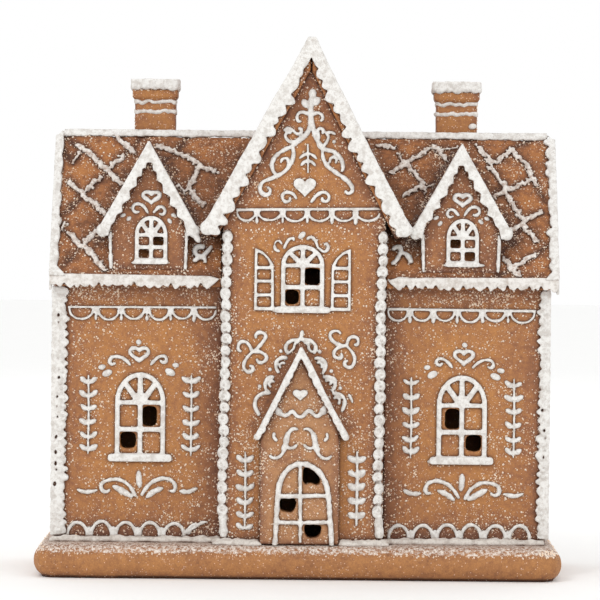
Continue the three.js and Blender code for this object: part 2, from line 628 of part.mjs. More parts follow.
// A strip of icing over the ridge.
function ridgeStrip(x0, x1) {
  const [lift, height, reach] = [GAP / Math.cos(pitch), COAT / Math.cos(pitch), 3.2];
  const z = (dy) => roof.ridgeZ + lift - Math.abs(dy) * tangent;
  const section = [[-reach, z(reach)], [0, z(0)], [reach, z(reach)], [reach, z(reach) + 0.6 * height],
    [1, z(1) + height], [-1, z(1) + height], [-reach, z(reach) + 0.6 * height]];
  return alongX(shifted(section, ridgeY), x0, x1);
}

// The icing of each half of the main roof: a waved strip up each slope, a cheek over the end, a ridge strip.
function addRoofIcing() {
  const [width, wave, waves] = [6.6, 1.4, 6];
  const outside = GAP + COAT;
  const band = (way) => {
    const [low, high] = [1.4, slopeLength + 0.4];
    const edge = wavedLine([way * width, low], [way * width, high], [-way * wave, 0], waves);
    return [[-way * outside, low], ...edge, [-way * outside, high]];
  };
  const top = (dy, out) => roof.ridgeZ + out / Math.cos(pitch) - dy * tangent;
  const cheekLine = (out) => [[-run + 1, top(run - 1, out)], [0, top(0, out)], [run - 1, top(run - 1, out)]];
  const cheek = shifted([...cheekLine(outside).reverse(), ...cheekLine(-roof.thick)], ridgeY);
  [["left", roof.x - roof.half, 1], ["right", roof.x + roof.half, -1]].forEach(([side, x, way]) => {
    const strips = [false, true].map((back) => {
      const turned = back ? -1 : 1;
      const outline = band(way * turned).map(([px, py]) => [px + x * turned, py]);
      return prism(polygon(outline), GAP, GAP + COAT, slopeFrame(back));
    });
    const end = alongX(cheek, ...ordered(x - way * outside, x - way * GAP));
    const ridge = ridgeStrip(...ordered(x, bay.x)).subtract(bayEnvelope(COAT + 2 * GAP));
    addPart(`roof_icing_${side}`, join([...strips, end, ridge]), icing);
  });
}

// The icing along each eave, thick on the fascia, with a slightly waved lower edge and a tapered inner end.
function addEaveIcing() {
  const [waves, wave, thick] = [6, 0.9, 2.2];
  const ends = {
    left: [roof.x - roof.half - COAT, bayEnds[0] - COAT],
    right: [bayEnds[1] + COAT, roof.x + roof.half + COAT],
  };
  Object.entries(ends).forEach(([side, [x0, x1]]) => {
    const lower = wavedLine([x0, roof.fasciaZ], [x1, roof.fasciaZ], [0, wave], waves);
    const outline = [...lower, [x1, roof.eaveZ], [x0, roof.eaveZ]];
    addPart(`eave_icing_front_${side}`, alongY(outline, eaveY - GAP - thick, eaveY - GAP), icing);
    addPart(`eave_icing_back_${side}`, alongY(outline, backEaveY + GAP, backEaveY + GAP + thick), icing);
  });
}

// The ornament over a dormer window: a heart, two curls and two leaves.
function dormerPiping(x) {
  return [
    openHeart(x + 1.4, 200.4, 9.6, 7.4, 1.4),
    dot(x + 1.4, 208.5, 1.3),
    ...curlPair(x + 1.4, 195, curl(2.4, 0.4, -8, 12, -4, 34, 5), swelling(0.85)),
    ...[-1, 1].map((side) => polygon(rectangle(x + side * 18.6 - 0.9, 164.5, x + side * 18.6 + 0.9, 184))),
  ];
}

function addDormers() {
  [["left", 1, 1.5], ["right", -1, 0.9]].forEach(([side, way, windowShift]) => {
    const x = dormerX[side];
    const gable = dormerGable(x);
    const [x0, x1] = [x - dormer.half, x + dormer.half];
    const [front, low] = [dormer.front, roof.fasciaZ];
    const wall = gableWall(gable, x0, x1, low, dormer.thick + GAP);
    const outer = alongY(wall, front, ridgeY);
    const inner = front + dormer.thick;
    const space = block(x0 + dormerCheek, x1 - dormerCheek, inner, ridgeY + 1, low - 1, wide);
    const openings = opensIn(dormerWindow, x + windowShift, way);
    const panes = openings.map((pane) => alongY(pane, front - 1, inner + 1));
    const frame = wallFrame(0, -front);
    const onWall = prism(polygon(wall), -ROOT, PIPING, frame);
    const piping = join(dormerPiping(x).map((shape) => prism(shape, -ROOT, PIPING, frame))).intersect(onWall);
    addPart(`dormer_${side}`, cut(outer, [space, mainRoofSpace, ...panes]).add(piping), gingerbread);
    addWindow(`window_dormer_${side}`, dormerWindow, x + windowShift, faces.frontDormer);

    const end = front - dormer.lip;
    const roofPanels = alongY(chevron(gable, 0, -dormer.thick), end, ridgeY).subtract(mainRoofSpace);
    addPart(`dormer_roof_${side}`, roofPanels, roofGingerbread);
    const band = gableIcing(gable, { end, inside: 4.6, wave: 1.2, waves: 5, lap: 5 });
    addPart(`dormer_icing_${side}`, band, icing);
  });
}

// The porch: a gabled panel in front of the bay, with a heart, two mirrored flourishes and a waved line.
function porchPiping() {
  const flourish = (side) => {
    const line = [...curl(0, 0, 96, 14, -2, -28, 5).reverse(), ...curl(0, 0, -84, 13, 2, 28, 5).slice(1)];
    return strand(line.map(([px, py]) => [door.mullion + side * (8.6 - px), 74.5 + py]), swelling(0.9, 0.6));
  };
  const waved = Array.from({ length: 9 }, (_, i) => [-14 + 3.8 * i, 90.6 + (i % 2 ? 1.6 : -1.2)]);
  return [heart(0.6, 96.4, 8.4, 6.4), strand(waved, even(0.7)), flourish(-1), flourish(1)];
}

function addPorch() {
  const [x0, x1] = [porch.x - porch.half, porch.x + porch.half];
  const { open, shut } = doorLights();
  const depth = bay.front - GAP - porch.front;
  const outline = gableWall(porchRoof, x0, x1, floorZ, porchRoof.thick + GAP);
  addPart("porch_wall", panel(outline, open, porchPiping(), depth), gingerbread, faces.frontPorch);

  const arch = archPoints(door.half, door.springZ, door.topZ - door.springZ, 8);
  const frame = polygon(shifted([[-door.half, floorZ + GAP], [door.half, floorZ + GAP], ...arch], door.x));
  addPart("door", pierced(frame, [...open, ...shut], GAP, COAT), icing, faces.frontPorch);

  const end = porch.front - porch.lip;
  const roofPanels = alongY(chevron(porchRoof, 0, -porchRoof.thick), end, bay.front - GAP);
  addPart("porch_roof", roofPanels, roofGingerbread);
  const band = gableIcing(porchRoof, { end, inside: 2.4, wave: 0.4, waves: 4, lap: 7 });
  addPart("porch_icing", band, icing);
}

// A chimney on the back slope, flared under its cap, with two raised courses of icing round it.
function addChimneys() {
  const { halfWidth, front, depth, neckZ, topZ, flare } = chimney;
  const { lip, height, crown } = chimneyCap;
  Object.entries(chimneyX).forEach(([side, x]) => {
    const box = (grow, z0, z1) => {
      return block(x - halfWidth - grow, x + halfWidth + grow, front - grow, front + depth + grow, z0, z1);
    };
    const courses = [242, 248].map((z) => box(0.9, z - 0.8, z + 0.8));
    const stack = join([box(0, roof.fasciaZ, topZ), ...courses, box(flare, neckZ, topZ)]);
    addPart(`chimney_${side}`, stack.subtract(mainRoofSpace), gingerbread);
    const capTop = topZ + height;
    const cap = box(flare + lip, topZ + GAP, capTop).add(box(flare, capTop - 1, capTop + crown));
    addPart(`chimney_icing_${side}`, cap, icing);
  });
}

// A chain of piped beads down each front corner of the bay, ending in a long drip.
function addBeadChains() {
  const { radius, waist, step, count, x, bottomZ, dripZ } = bead;
  const profile = [[0, dripZ], [waist, dripZ + 2], [radius, bottomZ - 5], [waist, bottomZ - 0.4]];
  for (let i = 0; i < count; i++) {
    const z = bottomZ + step * (i + 0.5);
    profile.push([radius, z], [i < count - 1 ? waist : 0, z + step / 2]);
  }
  const points = profile.map(([r, z]) => new THREE.Vector2(r, z));
  const chain = new THREE.LatheGeometry(points, 5).rotateX(Math.PI / 2);
  [["left", -x], ["right", x]].forEach(([side, dx]) => {
    const x0 = bay.x + dx;
    const whole = solidOf(chain.clone().translate(x0, bay.front - 1, 0));
    const wallSpace = block(x0 - WALL, x0 + WALL, bay.front - GAP, bay.front + WALL, 0, wide);
    addPart(`bead_chain_${side}`, whole.subtract(wallSpace), icing);
  });
}

// A scalloped strip of icing on both faces of each outer corner.
function addCornerIcing() {
  const [width, scallop, outside] = [5, 1.7, GAP + COAT];
  const [z0, z1] = [floorZ + snow.height + GAP, roof.fasciaZ - GAP];
  const scalloped = (edge, way, waves) => {
    const inner = edge + way * (width - scallop);
    const line = wavedLine([inner, z0], [inner, z1], [way * scallop, 0], waves);
    return [[edge - way * outside, z0], ...line, [edge - way * outside, z1]];
  };
  const corners = [
    { name: "front_left", side: -1, y: wing.front, out: -1, waves: 9 },
    { name: "front_right", side: 1, y: wing.front, out: -1, waves: 9 },
    { name: "back_left", side: -1, y: wing.back, out: 1, waves: 4 },
    { name: "back_right", side: 1, y: wing.back, out: 1, waves: 4 },
  ];
  corners.forEach(({ name, side, y, out, waves }) => {
    const x = wing.x + side * wing.half;
    const onFace = alongY(scalloped(x, -side, waves), ...ordered(y + out * GAP, y + out * outside));
    const onSide = alongX(scalloped(y, -out, waves), ...ordered(x + side * GAP, x + side * outside));
    addPart(`corner_icing_${name}`, onFace.add(onSide), icing);
  });
}

// Icing lying on the board along the foot of the walls, waved at its outer edge.
function addSnow() {
  const flat = (points) => prism(polygon(points), floorZ, floorZ + snow.height);
  const { reach, wave, cornerInset, step } = snow;
  const edge = (x0, x1, y, way, waves) => {
    const line = y + way * (reach - wave);
    return wavedLine([x0, line], [x1, line], [0, way * wave], waves);
  };
  const frontY = [wing.front - GAP, bay.front - GAP];
  [["left", -1], ["right", 1]].forEach(([name, side]) => {
    const corner = wing.x + side * (wing.half - cornerInset);
    const bayX = bay.x + side * (bay.half + GAP);
    const porchX = porch.x + side * (porch.half + GAP);
    addPart(`snow_front_${name}`, flat([
      [corner, frontY[0]],
      ...edge(corner, bayX + side * (step + 1), frontY[0], -1, 7),
      ...edge(bayX + side * step, porchX, frontY[1] + snow.inset, -1, 2),
      [porchX, frontY[1]], [bayX, frontY[1]], [bayX, frontY[0]],
    ]), icing);
  });
  const backY = [wing.back + GAP, bay.back + GAP];
  const [x0, x1] = [wingEnds[0] + cornerInset, bayEnds[0] - GAP];
  const [x2, x3] = [bayEnds[1] + GAP, wingEnds[1] - cornerInset];
  addPart("snow_back", flat([
    [x0, backY[0]],
    ...edge(x0, x1 - step - 1, backY[0], 1, 6),
    ...edge(x1 - step, x2 + step, backY[1] - snow.inset, 1, 5),
    ...edge(x2 + step + 1, x3, backY[0], 1, 6),
    [x3, backY[0]], [x2, backY[0]], [x2, backY[1]], [x1, backY[1]], [x1, backY[0]],
  ]), icing);
}

addBoard();
addFrontWings();
addBackWings();
addSideWalls();
addBay();
addMainRoof();
addRoofIcing();
addEaveIcing();
addDormers();
addPorch();
addChimneys();
addBeadChains();
addCornerIcing();
addSnow();

export default house;
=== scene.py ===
"""The looks of a gingerbread-house ornament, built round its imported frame.

Each class holds the sizes of one sub-assembly in millimetres. Dough and icing are laid as flat
shapes, strands and drops, melted into one skin, and become metres when their mesh is made.
"""

import logging
import math
import random
from collections.abc import Callable, Iterable, Sequence
from dataclasses import dataclass, field
from enum import Enum

import bmesh
import bpy
import numpy as np
from mathutils import Matrix, Vector, noise


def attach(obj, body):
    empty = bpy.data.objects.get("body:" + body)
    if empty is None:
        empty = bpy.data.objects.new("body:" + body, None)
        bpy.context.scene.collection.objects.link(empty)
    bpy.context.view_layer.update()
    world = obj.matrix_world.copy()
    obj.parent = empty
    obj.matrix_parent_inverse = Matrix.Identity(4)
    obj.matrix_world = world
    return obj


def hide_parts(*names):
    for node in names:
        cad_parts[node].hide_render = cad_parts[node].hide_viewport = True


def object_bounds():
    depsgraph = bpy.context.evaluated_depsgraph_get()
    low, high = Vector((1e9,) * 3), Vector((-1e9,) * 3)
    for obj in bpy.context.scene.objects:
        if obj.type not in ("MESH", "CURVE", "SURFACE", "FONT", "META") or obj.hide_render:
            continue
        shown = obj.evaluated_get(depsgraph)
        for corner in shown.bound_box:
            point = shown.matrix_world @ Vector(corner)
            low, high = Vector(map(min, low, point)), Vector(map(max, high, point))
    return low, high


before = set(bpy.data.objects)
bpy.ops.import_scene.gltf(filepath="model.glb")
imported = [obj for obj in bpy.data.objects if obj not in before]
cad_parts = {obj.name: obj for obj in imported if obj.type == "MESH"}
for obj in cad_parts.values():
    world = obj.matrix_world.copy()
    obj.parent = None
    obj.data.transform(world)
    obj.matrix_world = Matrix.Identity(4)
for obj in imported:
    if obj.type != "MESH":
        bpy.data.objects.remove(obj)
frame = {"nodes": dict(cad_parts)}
cad_box = [list(corner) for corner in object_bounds()]

MM = 0.001
GAP = 0.3
COAT = 1.6
OUTSIDE = GAP + COAT
WANDER_SEED = 7

Point = tuple[float, float]
Outline = list[Point]
Traced = tuple[tuple[float, Outline], ...]
Colour = tuple[float, float, float, float]
Field = Callable[[np.ndarray], np.ndarray]

log = logging.getLogger("gingerbread_house")


class Side(Enum):
    """The two halves of the house, with the sign of their X."""

    LEFT = -1
    RIGHT = 1

    @property
    def word(self) -> str:
        """The side as it stands in a node's name."""
        return self.name.lower()


class Slot(Enum):
    """The record's material slots."""

    BOARD = "board"
    GINGERBREAD = "gingerbread"
    ROOF = "roof_gingerbread"
    ICING = "icing"


# ---------------------------------------------------------------- finishes
def srgb(red: float, green: float, blue: float) -> Colour:
    """Turns a display colour into a shader colour.

    Args:
        red: Red from 0 to 255.
        green: Green from 0 to 255.
        blue: Blue from 0 to 255.

    Returns:
        The linear colour, with alpha 1.
    """
    shares = [channel / 255 for channel in (red, green, blue)]
    linear = [s / 12.92 if s <= 0.04045 else ((s + 0.055) / 1.055) ** 2.4 for s in shares]
    return (linear[0], linear[1], linear[2], 1.0)


class Recipe:
    """The node tree of one material, with short ways to add to it."""

    def __init__(self, name: str) -> None:
        """Starts a material.

        Args:
            name: The material's name.
        """
        self.material = bpy.data.materials.new(name)
        self.material.use_nodes = True
        self.tree = self.material.node_tree
        self.shader = next(n for n in self.tree.nodes if n.type == "BSDF_PRINCIPLED")
        self.place = self.tree.nodes.new("ShaderNodeTexCoord").outputs["Object"]

    def add(self, kind: str, inputs: dict, **settings: object) -> bpy.types.Node:
        """Adds a node.

        Args:
            kind: The node's type.
            inputs: Values or sockets for its inputs, by name or number.
            **settings: The node's own properties.

        Returns:
            The node.
        """
        node = self.tree.nodes.new(kind)
        for key, value in settings.items():
            setattr(node, key, value)
        for key, value in inputs.items():
            if isinstance(value, bpy.types.NodeSocket):
                self.tree.links.new(value, node.inputs[key])
            else:
                node.inputs[key].default_value = value
        return node

    def mottle(self, size: float, detail: float = 2.0, roughness: float = 0.55) -> bpy.types.NodeSocket:
        """A noise whose patches are about so many millimetres across."""
        inputs = {"Vector": self.place, "Scale": 1 / (size * MM), "Detail": detail, "Roughness": roughness}
        return self.add("ShaderNodeTexNoise", inputs).outputs["Fac"]

    def painted(self, name: str) -> bpy.types.NodeSocket:
        """A value painted on the mesh under that name."""
        return self.add("ShaderNodeAttribute", {}, attribute_name=name).outputs["Fac"]

    def maths(self, operation: str, first: object, second: object = 0.0) -> bpy.types.NodeSocket:
        """One sum on two values, kept from 0 to 1."""
        node = self.add("ShaderNodeMath", {0: first, 1: second}, operation=operation, use_clamp=True)
        return node.outputs[0]

    def times(self, first: object, second: object) -> bpy.types.NodeSocket:
        """The product of two values."""
        return self.maths("MULTIPLY", first, second)

    def plus(self, first: object, second: object) -> bpy.types.NodeSocket:
        """The sum of two values, up to 1."""
        return self.maths("ADD", first, second)

    def coat(self, under: object, mask: object, share: float, over: object) -> bpy.types.NodeSocket:
        """A colour with a share of another laid over it where a mask is 1."""
        return self.blend(self.times(mask, share), under, over)

    def blend(self, share: object, first: object, second: object) -> bpy.types.NodeSocket:
        """Two colours mixed by a share."""
        node = self.add("ShaderNodeMix", {0: share, 6: first, 7: second}, data_type="RGBA")
        return node.outputs[2]

    def ramp(self, value: object, low: float, high: float) -> bpy.types.NodeSocket:
        """A value stretched so that low is 0 and high is 1."""
        node = self.add(
            "ShaderNodeMapRange", {"Value": value, "From Min": low, "From Max": high}, clamp=True
        )
        return node.outputs["Result"]

    def crevice_shade(self, reach: float) -> bpy.types.NodeSocket:
        """How shut in a point is by what stands within so many millimetres, from 0 to 1."""
        node = self.add("ShaderNodeAmbientOcclusion", {"Distance": reach * MM}, samples=6)
        return self.maths("SUBTRACT", 1.0, node.outputs["AO"])

    def specks(self, size: float, share: object) -> bpy.types.NodeSocket:
        """Round specks on a share of the cells of a pattern of that size in millimetres."""
        inputs = {"Vector": self.place, "Scale": 1 / (size * MM), "Randomness": 1.0}
        cells = self.add("ShaderNodeTexVoronoi", inputs, feature="F1")
        chosen = self.add("ShaderNodeSeparateColor", {0: cells.outputs["Color"]}).outputs[0]
        kept = self.maths("GREATER_THAN", share, chosen)
        near = self.ramp(cells.outputs["Distance"], 0.34, 0.2)
        return self.times(near, kept)

    def bump(self, height: bpy.types.NodeSocket, depth: float) -> None:
        """Roughens the shader's surface by a height, so many millimetres deep."""
        node = self.add("ShaderNodeBump", {"Height": height, "Distance": depth * MM, "Strength": 0.8})
        self.tree.links.new(node.outputs["Normal"], self.shader.inputs["Normal"])

    def finish(self, colour: bpy.types.NodeSocket, roughness: float, specular: float) -> bpy.types.Material:
        """Gives the shader its colour and gloss.

        Args:
            colour: The colour all over.
            roughness: How matt it is.
            specular: How strongly it reflects.

        Returns:
            The material.
        """
        self.tree.links.new(colour, self.shader.inputs["Base Color"])
        self.shader.inputs["Roughness"].default_value = roughness
        self.shader.inputs["Specular IOR Level"].default_value = specular
        return self.material


@dataclass(frozen=True)
class BakedFinish:
    """Baked dough, coloured from golden to chocolate brown by its paint and by painted shade, and darkened
    by painted shade in its corners and creases.
    """

    name: str
    slot: Slot
    golden: Colour
    brown: Colour
    dark: Colour
    # The deep brown of the painted shade in crevices and corners, which also stands for the dark wash in
    # the ornament's hollows.
    crevice_shade: Colour = srgb(74, 42, 26)
    depth: float = 0.25

    def material(self) -> bpy.types.Material:
        """The finish as a material: broad patches, a fine crumb, painted shade in its corners and a dusting
        of sugar.
        """
        if self.name in bpy.data.materials:
            return bpy.data.materials[self.name]
        recipe = Recipe(self.name)
        patches, freckles, crumb = recipe.mottle(17, 3), recipe.mottle(3.2, 4, 0.7), recipe.mottle(0.7, 3)
        uneven = recipe.times(recipe.ramp(patches, 0.3, 0.75), 0.26)
        spotted = recipe.times(recipe.ramp(freckles, 0.42, 0.75), 0.42)
        # The painted tone holds both the darker paint along edges and painted shade under eaves, in valleys
        # and in grooves.
        tone = recipe.plus(recipe.plus(recipe.painted("tone"), uneven), spotted)
        light = recipe.blend(recipe.ramp(tone, 0.04, 0.52), self.golden, self.brown)
        colour = recipe.blend(recipe.ramp(tone, 0.45, 0.98), light, self.dark)
        colour = recipe.coat(colour, recipe.ramp(crumb, 0.6, 0.36), 0.3, self.dark)
        colour = recipe.coat(
            colour, recipe.ramp(recipe.mottle(0.9, 2), 0.6, 0.72), 0.3, srgb(222, 168, 112)
        )
        # Painted shade: deep brown where nearby relief shuts a point in, also standing for the dark wash in
        # the hollows.
        corner = recipe.ramp(recipe.crevice_shade(1.9), 0.07, 0.5)
        colour = recipe.coat(colour, corner, 0.85, self.crevice_shade)
        dust = recipe.plus(recipe.times(recipe.painted("frost"), 0.62), 0.07)
        colour = recipe.coat(colour, recipe.specks(0.95, dust), 0.8, srgb(232, 204, 184))
        laid = recipe.times(recipe.painted("smear"), 0.36)
        smear = recipe.ramp(recipe.plus(recipe.mottle(1.6, 5, 0.8), laid), 0.8, 0.94)
        colour = recipe.blend(smear, colour, srgb(228, 217, 206))
        recipe.bump(recipe.plus(crumb, recipe.times(freckles, 1.6)), self.depth)
        return recipe.finish(colour, 0.72, 0.3)


@dataclass(frozen=True)
class IcingFinish:
    """Dried white icing, greyer where it is thin, with painted shade browning its creases."""

    name: str
    white: Colour
    grey: Colour
    worn: float = 0.0
    slot: Slot = Slot.ICING

    def material(self) -> bpy.types.Material:
        """The finish as a material: cloudy white, with painted shade browning its grooves."""
        if self.name in bpy.data.materials:
            return bpy.data.materials[self.name]
        recipe = Recipe(self.name)
        cloud, grain = recipe.mottle(3.4, 5, 0.65), recipe.mottle(1.5, 4, 0.7)
        colour = recipe.blend(recipe.ramp(cloud, 0.46, 0.62), self.white, self.grey)
        colour = recipe.coat(colour, recipe.ramp(grain, 0.48, 0.36), 0.6, srgb(196, 188, 181))
        # Painted shade: brown in the creases where nearby relief shuts the icing in, also standing for the
        # dark wash there.
        crease_shade = recipe.ramp(recipe.crevice_shade(1.5), 0.1, 0.5)
        colour = recipe.coat(colour, crease_shade, 0.95, srgb(112, 84, 68))
        bare = recipe.ramp(recipe.mottle(1.6, 5, 0.7), 0.66 - 0.3 * self.worn, 0.72 - 0.26 * self.worn)
        colour = recipe.coat(colour, bare, self.worn, srgb(150, 108, 82))
        recipe.bump(recipe.plus(grain, recipe.times(cloud, 0.6)), 0.5)
        return recipe.finish(colour, 0.6, 0.3)


@dataclass(frozen=True)
class SugarFinish:
    """Grains of sugar, white to pale honey."""

    name: str = "sugar"
    slot: Slot = Slot.ICING

    def material(self) -> bpy.types.Material:
        """The finish as a material, whose tint is painted on each grain."""
        recipe = Recipe(self.name)
        tint = recipe.plus(recipe.painted("tint"), recipe.times(recipe.mottle(0.5), 0.1))
        colour = recipe.blend(tint, srgb(248, 238, 224), srgb(230, 198, 166))
        return recipe.finish(colour, 0.35, 0.5)


WALL_DOUGH = BakedFinish(
    "wall_gingerbread", Slot.GINGERBREAD, srgb(186, 129, 75), srgb(154, 103, 69), srgb(106, 69, 53)
)
PORCH_DOUGH = BakedFinish(
    "porch_gingerbread", Slot.GINGERBREAD, srgb(187, 140, 98), srgb(168, 121, 85), srgb(122, 82, 63)
)
ROOF_DOUGH = BakedFinish(
    "roof_dough", Slot.ROOF, srgb(194, 130, 72), srgb(152, 98, 62), srgb(76, 48, 36), depth=0.4
)
BOARD_DOUGH = BakedFinish(
    "board_gingerbread", Slot.BOARD, srgb(188, 132, 79), srgb(155, 105, 68), srgb(112, 75, 55), depth=0.3
)
WHITE_ICING = IcingFinish("white_icing", srgb(231, 229, 225), srgb(205, 200, 194))
THIN_ICING = IcingFinish("thin_icing", srgb(227, 223, 218), srgb(198, 190, 182), 0.2)
WORN_ICING = IcingFinish("worn_icing", srgb(232, 226, 219), srgb(196, 184, 175), 0.5)
FLOOR_ICING = IcingFinish("floor_icing", srgb(220, 214, 206), srgb(190, 181, 172), 0.25)


# ---------------------------------------------------------------- faces and lines
UPRIGHT = Matrix(((1, 0, 0, 0), (0, 0, -1, 0), (0, 1, 0, 0), (0, 0, 0, 1)))
SIDEWAYS = Matrix(((0, 0, 1, 0), (1, 0, 0, 0), (0, 1, 0, 0), (0, 0, 0, 1)))


def wall_face(turn: float, distance: float, shift: float = 0.0) -> Matrix:
    """The frame of an upright face: local x along it, y up and z out of it.

    Args:
        turn: Degrees round Z, with 0 the front and 90 the right-hand side.
        distance: How far the face stands from the origin.
        shift: How far local x is moved along it.

    Returns:
        The frame, in millimetres.
    """
    moved = Matrix.Translation((shift, -distance, 0))
    return Matrix.Rotation(math.radians(turn), 4, "Z") @ moved @ UPRIGHT


def between(start: Point, end: Point, share: float) -> Point:
    """The point at a share of the way from one point to another."""
    return (start[0] + (end[0] - start[0]) * share, start[1] + (end[1] - start[1]) * share)


def shifted(points: Iterable[Point], along: float, way: int = 1) -> Outline:
    """Points moved along a face, after being mirrored about x = 0 when way is -1."""
    return [(way * x + along, y) for x, y in points]


def flowing(points: Sequence[Point], closed: bool = False, step: float = 0.9) -> Outline:
    """A smooth line through points.

    Args:
        points: The points.
        closed: Whether the line comes back to its start.
        step: About how far its points lie apart.

    Returns:
        The points of the smooth line.
    """
    count = len(points)
    if count < 3:
        return list(points)
    line: Outline = []
    for i in range(count if closed else count - 1):
        a, b, c, d = (
            Vector(
                points[(i + k) % count]
                if closed
                else points[min(max(i + k, 0), count - 1)]
            ) for k in (-1, 0, 1, 2)
        )
        pieces = max(1, round((c - b).length / step))
        for k in range(pieces):
            t = k / pieces
            spot = 0.5 * (
                2
                * b
                + (c - a)
                * t
                + (2 * a - 5 * b + 4 * c - d)
                * t**2
                + (3 * b - a - 3 * c + d)
                * t**3
            )
            line.append((spot.x, spot.y))
    if not closed:
        line.append(points[-1])
    return line


def arch(half: float, spring: float, rise: float, steps: int) -> Outline:
    """Points on a half-round arch over x = 0, from right to left."""
    angles = [math.radians(180 * i / steps) for i in range(steps + 1)]
    return [(half * math.cos(a), spring + rise * math.sin(a)) for a in angles]


def soft_box(x0: float, y0: float, x1: float, y1: float, corner: float) -> Outline:
    """A box with round corners."""
    centres = [
        (x1 - corner, y1 - corner), (x0 + corner, y1 - corner), (x0 + corner, y0 + corner),
        (x1 - corner, y0 + corner)
    ]
    return [
        (cx + corner * math.cos(math.radians(90 * i + t)), cy + corner * math.sin(math.radians(90 * i + t)))
        for i, (cx, cy) in enumerate(centres)
        for t in (0, 30, 60, 90)
    ]


def box(x0: float, y0: float, x1: float, y1: float) -> Outline:
    """A box with sharp corners."""
    return [(x0, y0), (x1, y0), (x1, y1), (x0, y1)]


def heart_line(x: float, y: float, width: float, height: float, steps: int = 22) -> Outline:
    """The outline of a heart about a point."""
    line: Outline = []
    for i in range(steps):
        t = 2 * math.pi * i / steps
        up = 13 * math.cos(t) - 5 * math.cos(2 * t) - 2 * math.cos(3 * t) - math.cos(4 * t)
        line.append((x + width / 2 * math.sin(t) ** 3, y + height * (up + 2.5) / 29))
    return line


def lobed(
    start: Point, end: Point, push: Point, lobes: int, draw: random.Random, calm: float = 0.0
) -> Outline:
    """A line whose middle swells out in uneven lobes with sharp notches between them.

    Args:
        start: Where it starts.
        end: Where it ends.
        push: How far and which way a lobe swells.
        lobes: How many there are.
        draw: Where its unevenness comes from.
        calm: Over what share of the line, before its end, the lobes die away.

    Returns:
        The points of the line.
    """
    marks = [0.0] + [(i + draw.uniform(-0.27, 0.27)) / lobes for i in range(1, lobes)] + [1.0]
    line: Outline = []
    for low, high in zip(marks, marks[1:]):
        swell = draw.uniform(0.45, 1.35) * (min(1.0, (1 - (low + high) / 2) / calm) if calm else 1.0)
        for k in range(6):
            x, y = between(start, end, low + (high - low) * k / 6)
            out = swell * math.sin(math.pi * k / 6) ** 0.75
            line.append((x + push[0] * out, y + push[1] * out))
    return line + [end]


def apart(places: np.ndarray, start: Sequence[float], end: Sequence[float]) -> np.ndarray:
    """How far each place is from a straight piece of line."""
    a, b = np.asarray(start, float), np.asarray(end, float)
    along = b - a
    share = np.clip(((places - a) @ along) / max(along @ along, 1e-9), 0, 1)
    return np.linalg.norm(places - a - share[:, None] * along, axis=1)


@dataclass(frozen=True)
class Rub:
    """A strength laid along a straight line and fading away from it: darker paint and painted shade in a
    tone, sugar in a frost, grey icing in a smear.
    """

    start: Point
    end: Point
    strength: float
    reach: float


def falloffs_along(line: Outline, strength: float, reach: float, closed: bool = False) -> list[Rub]:
    """A rub along each straight piece of a line, and back to its start when it is closed."""
    ahead = [*line[1:], *line[:1]] if closed else line[1:]
    return [Rub(a, b, strength, reach) for a, b in zip(line, ahead)]


def falloff_field(falloffs: Iterable[Rub], axes: tuple[int, int] = (0, 2), ground: float = 0.0) -> Field:
    """How much of several rubs lies on each place.

    Args:
        falloffs: The rubs, drawn in two of the three axes.
        axes: Which axes those are.
        ground: What there is everywhere.

    Returns:
        A field from 0 to 1 over places in millimetres.
    """
    kept = list(falloffs)

    def strength(places: np.ndarray) -> np.ndarray:
        """The strongest rub on each place."""
        flat = places[:, list(axes)]
        total = np.full(len(places), ground)
        for falloff in kept:
            total = np.maximum(total, falloff.strength * np.exp(-apart(flat, falloff.start, falloff.end) / falloff.reach))
        return total

    return strength


# ---------------------------------------------------------------- dough and icing
@dataclass(frozen=True)
class Melt:
    """How shapes run together, in millimetres, and what share of the faces is kept."""

    grain: float
    passes: int
    lump: float
    lump_size: float
    kept: float = 0.48


PANEL_MELT = Melt(1.25, 2, 0.3, 9.0)
FRONT_MELT = Melt(0.85, 2, 0.3, 9)
SLAB_MELT = Melt(1.0, 3, 0.45, 7.0)
BOARD_MELT = Melt(1.7, 4, 0.7, 22.0)
PIPING_MELT = Melt(0.42, 2, 0.3, 1.8)
FRAME_MELT = Melt(0.45, 3, 0.3, 2.2)
BAND_MELT = Melt(0.6, 3, 0.8, 3.2)
SNOW_MELT = Melt(0.6, 3, 0.9, 4.5)
SIDE_MELT = Melt(0.95, 2, 0.3, 9)
BAY_LINES_MELT = Melt(0.5, 1, 0.8, 1.9)
ROOF_LINES_MELT = Melt(0.45, 1, 0.9, 1.8)
PORCH_MELT = Melt(0.8, 2, 0.25, 7)
PORCH_ROOF_MELT = Melt(0.7, 2, 0.2, 5)
PORCH_BAND_MELT = Melt(0.5, 3, 0.3, 4)
DORMER_MELT = Melt(0.75, 2, 0.25, 6)
DORMER_FRAME_MELT = Melt(0.4, 2, 0.12, 2.4)
DORMER_ROOF_MELT = Melt(0.8, 2, 0.4, 6)
DORMER_BAND_MELT = Melt(0.48, 2, 0.45, 3)
EAVE_MELT = Melt(0.55, 3, 0.4, 5)
STACK_MELT = Melt(0.8, 3, 0.4, 6)
CAP_MELT = Melt(0.6, 3, 0.4, 5)
BEAD_MELT = Melt(0.34, 1, 0.35, 1.8)
CORNER_MELT = Melt(0.5, 1, 0.9, 2.6)


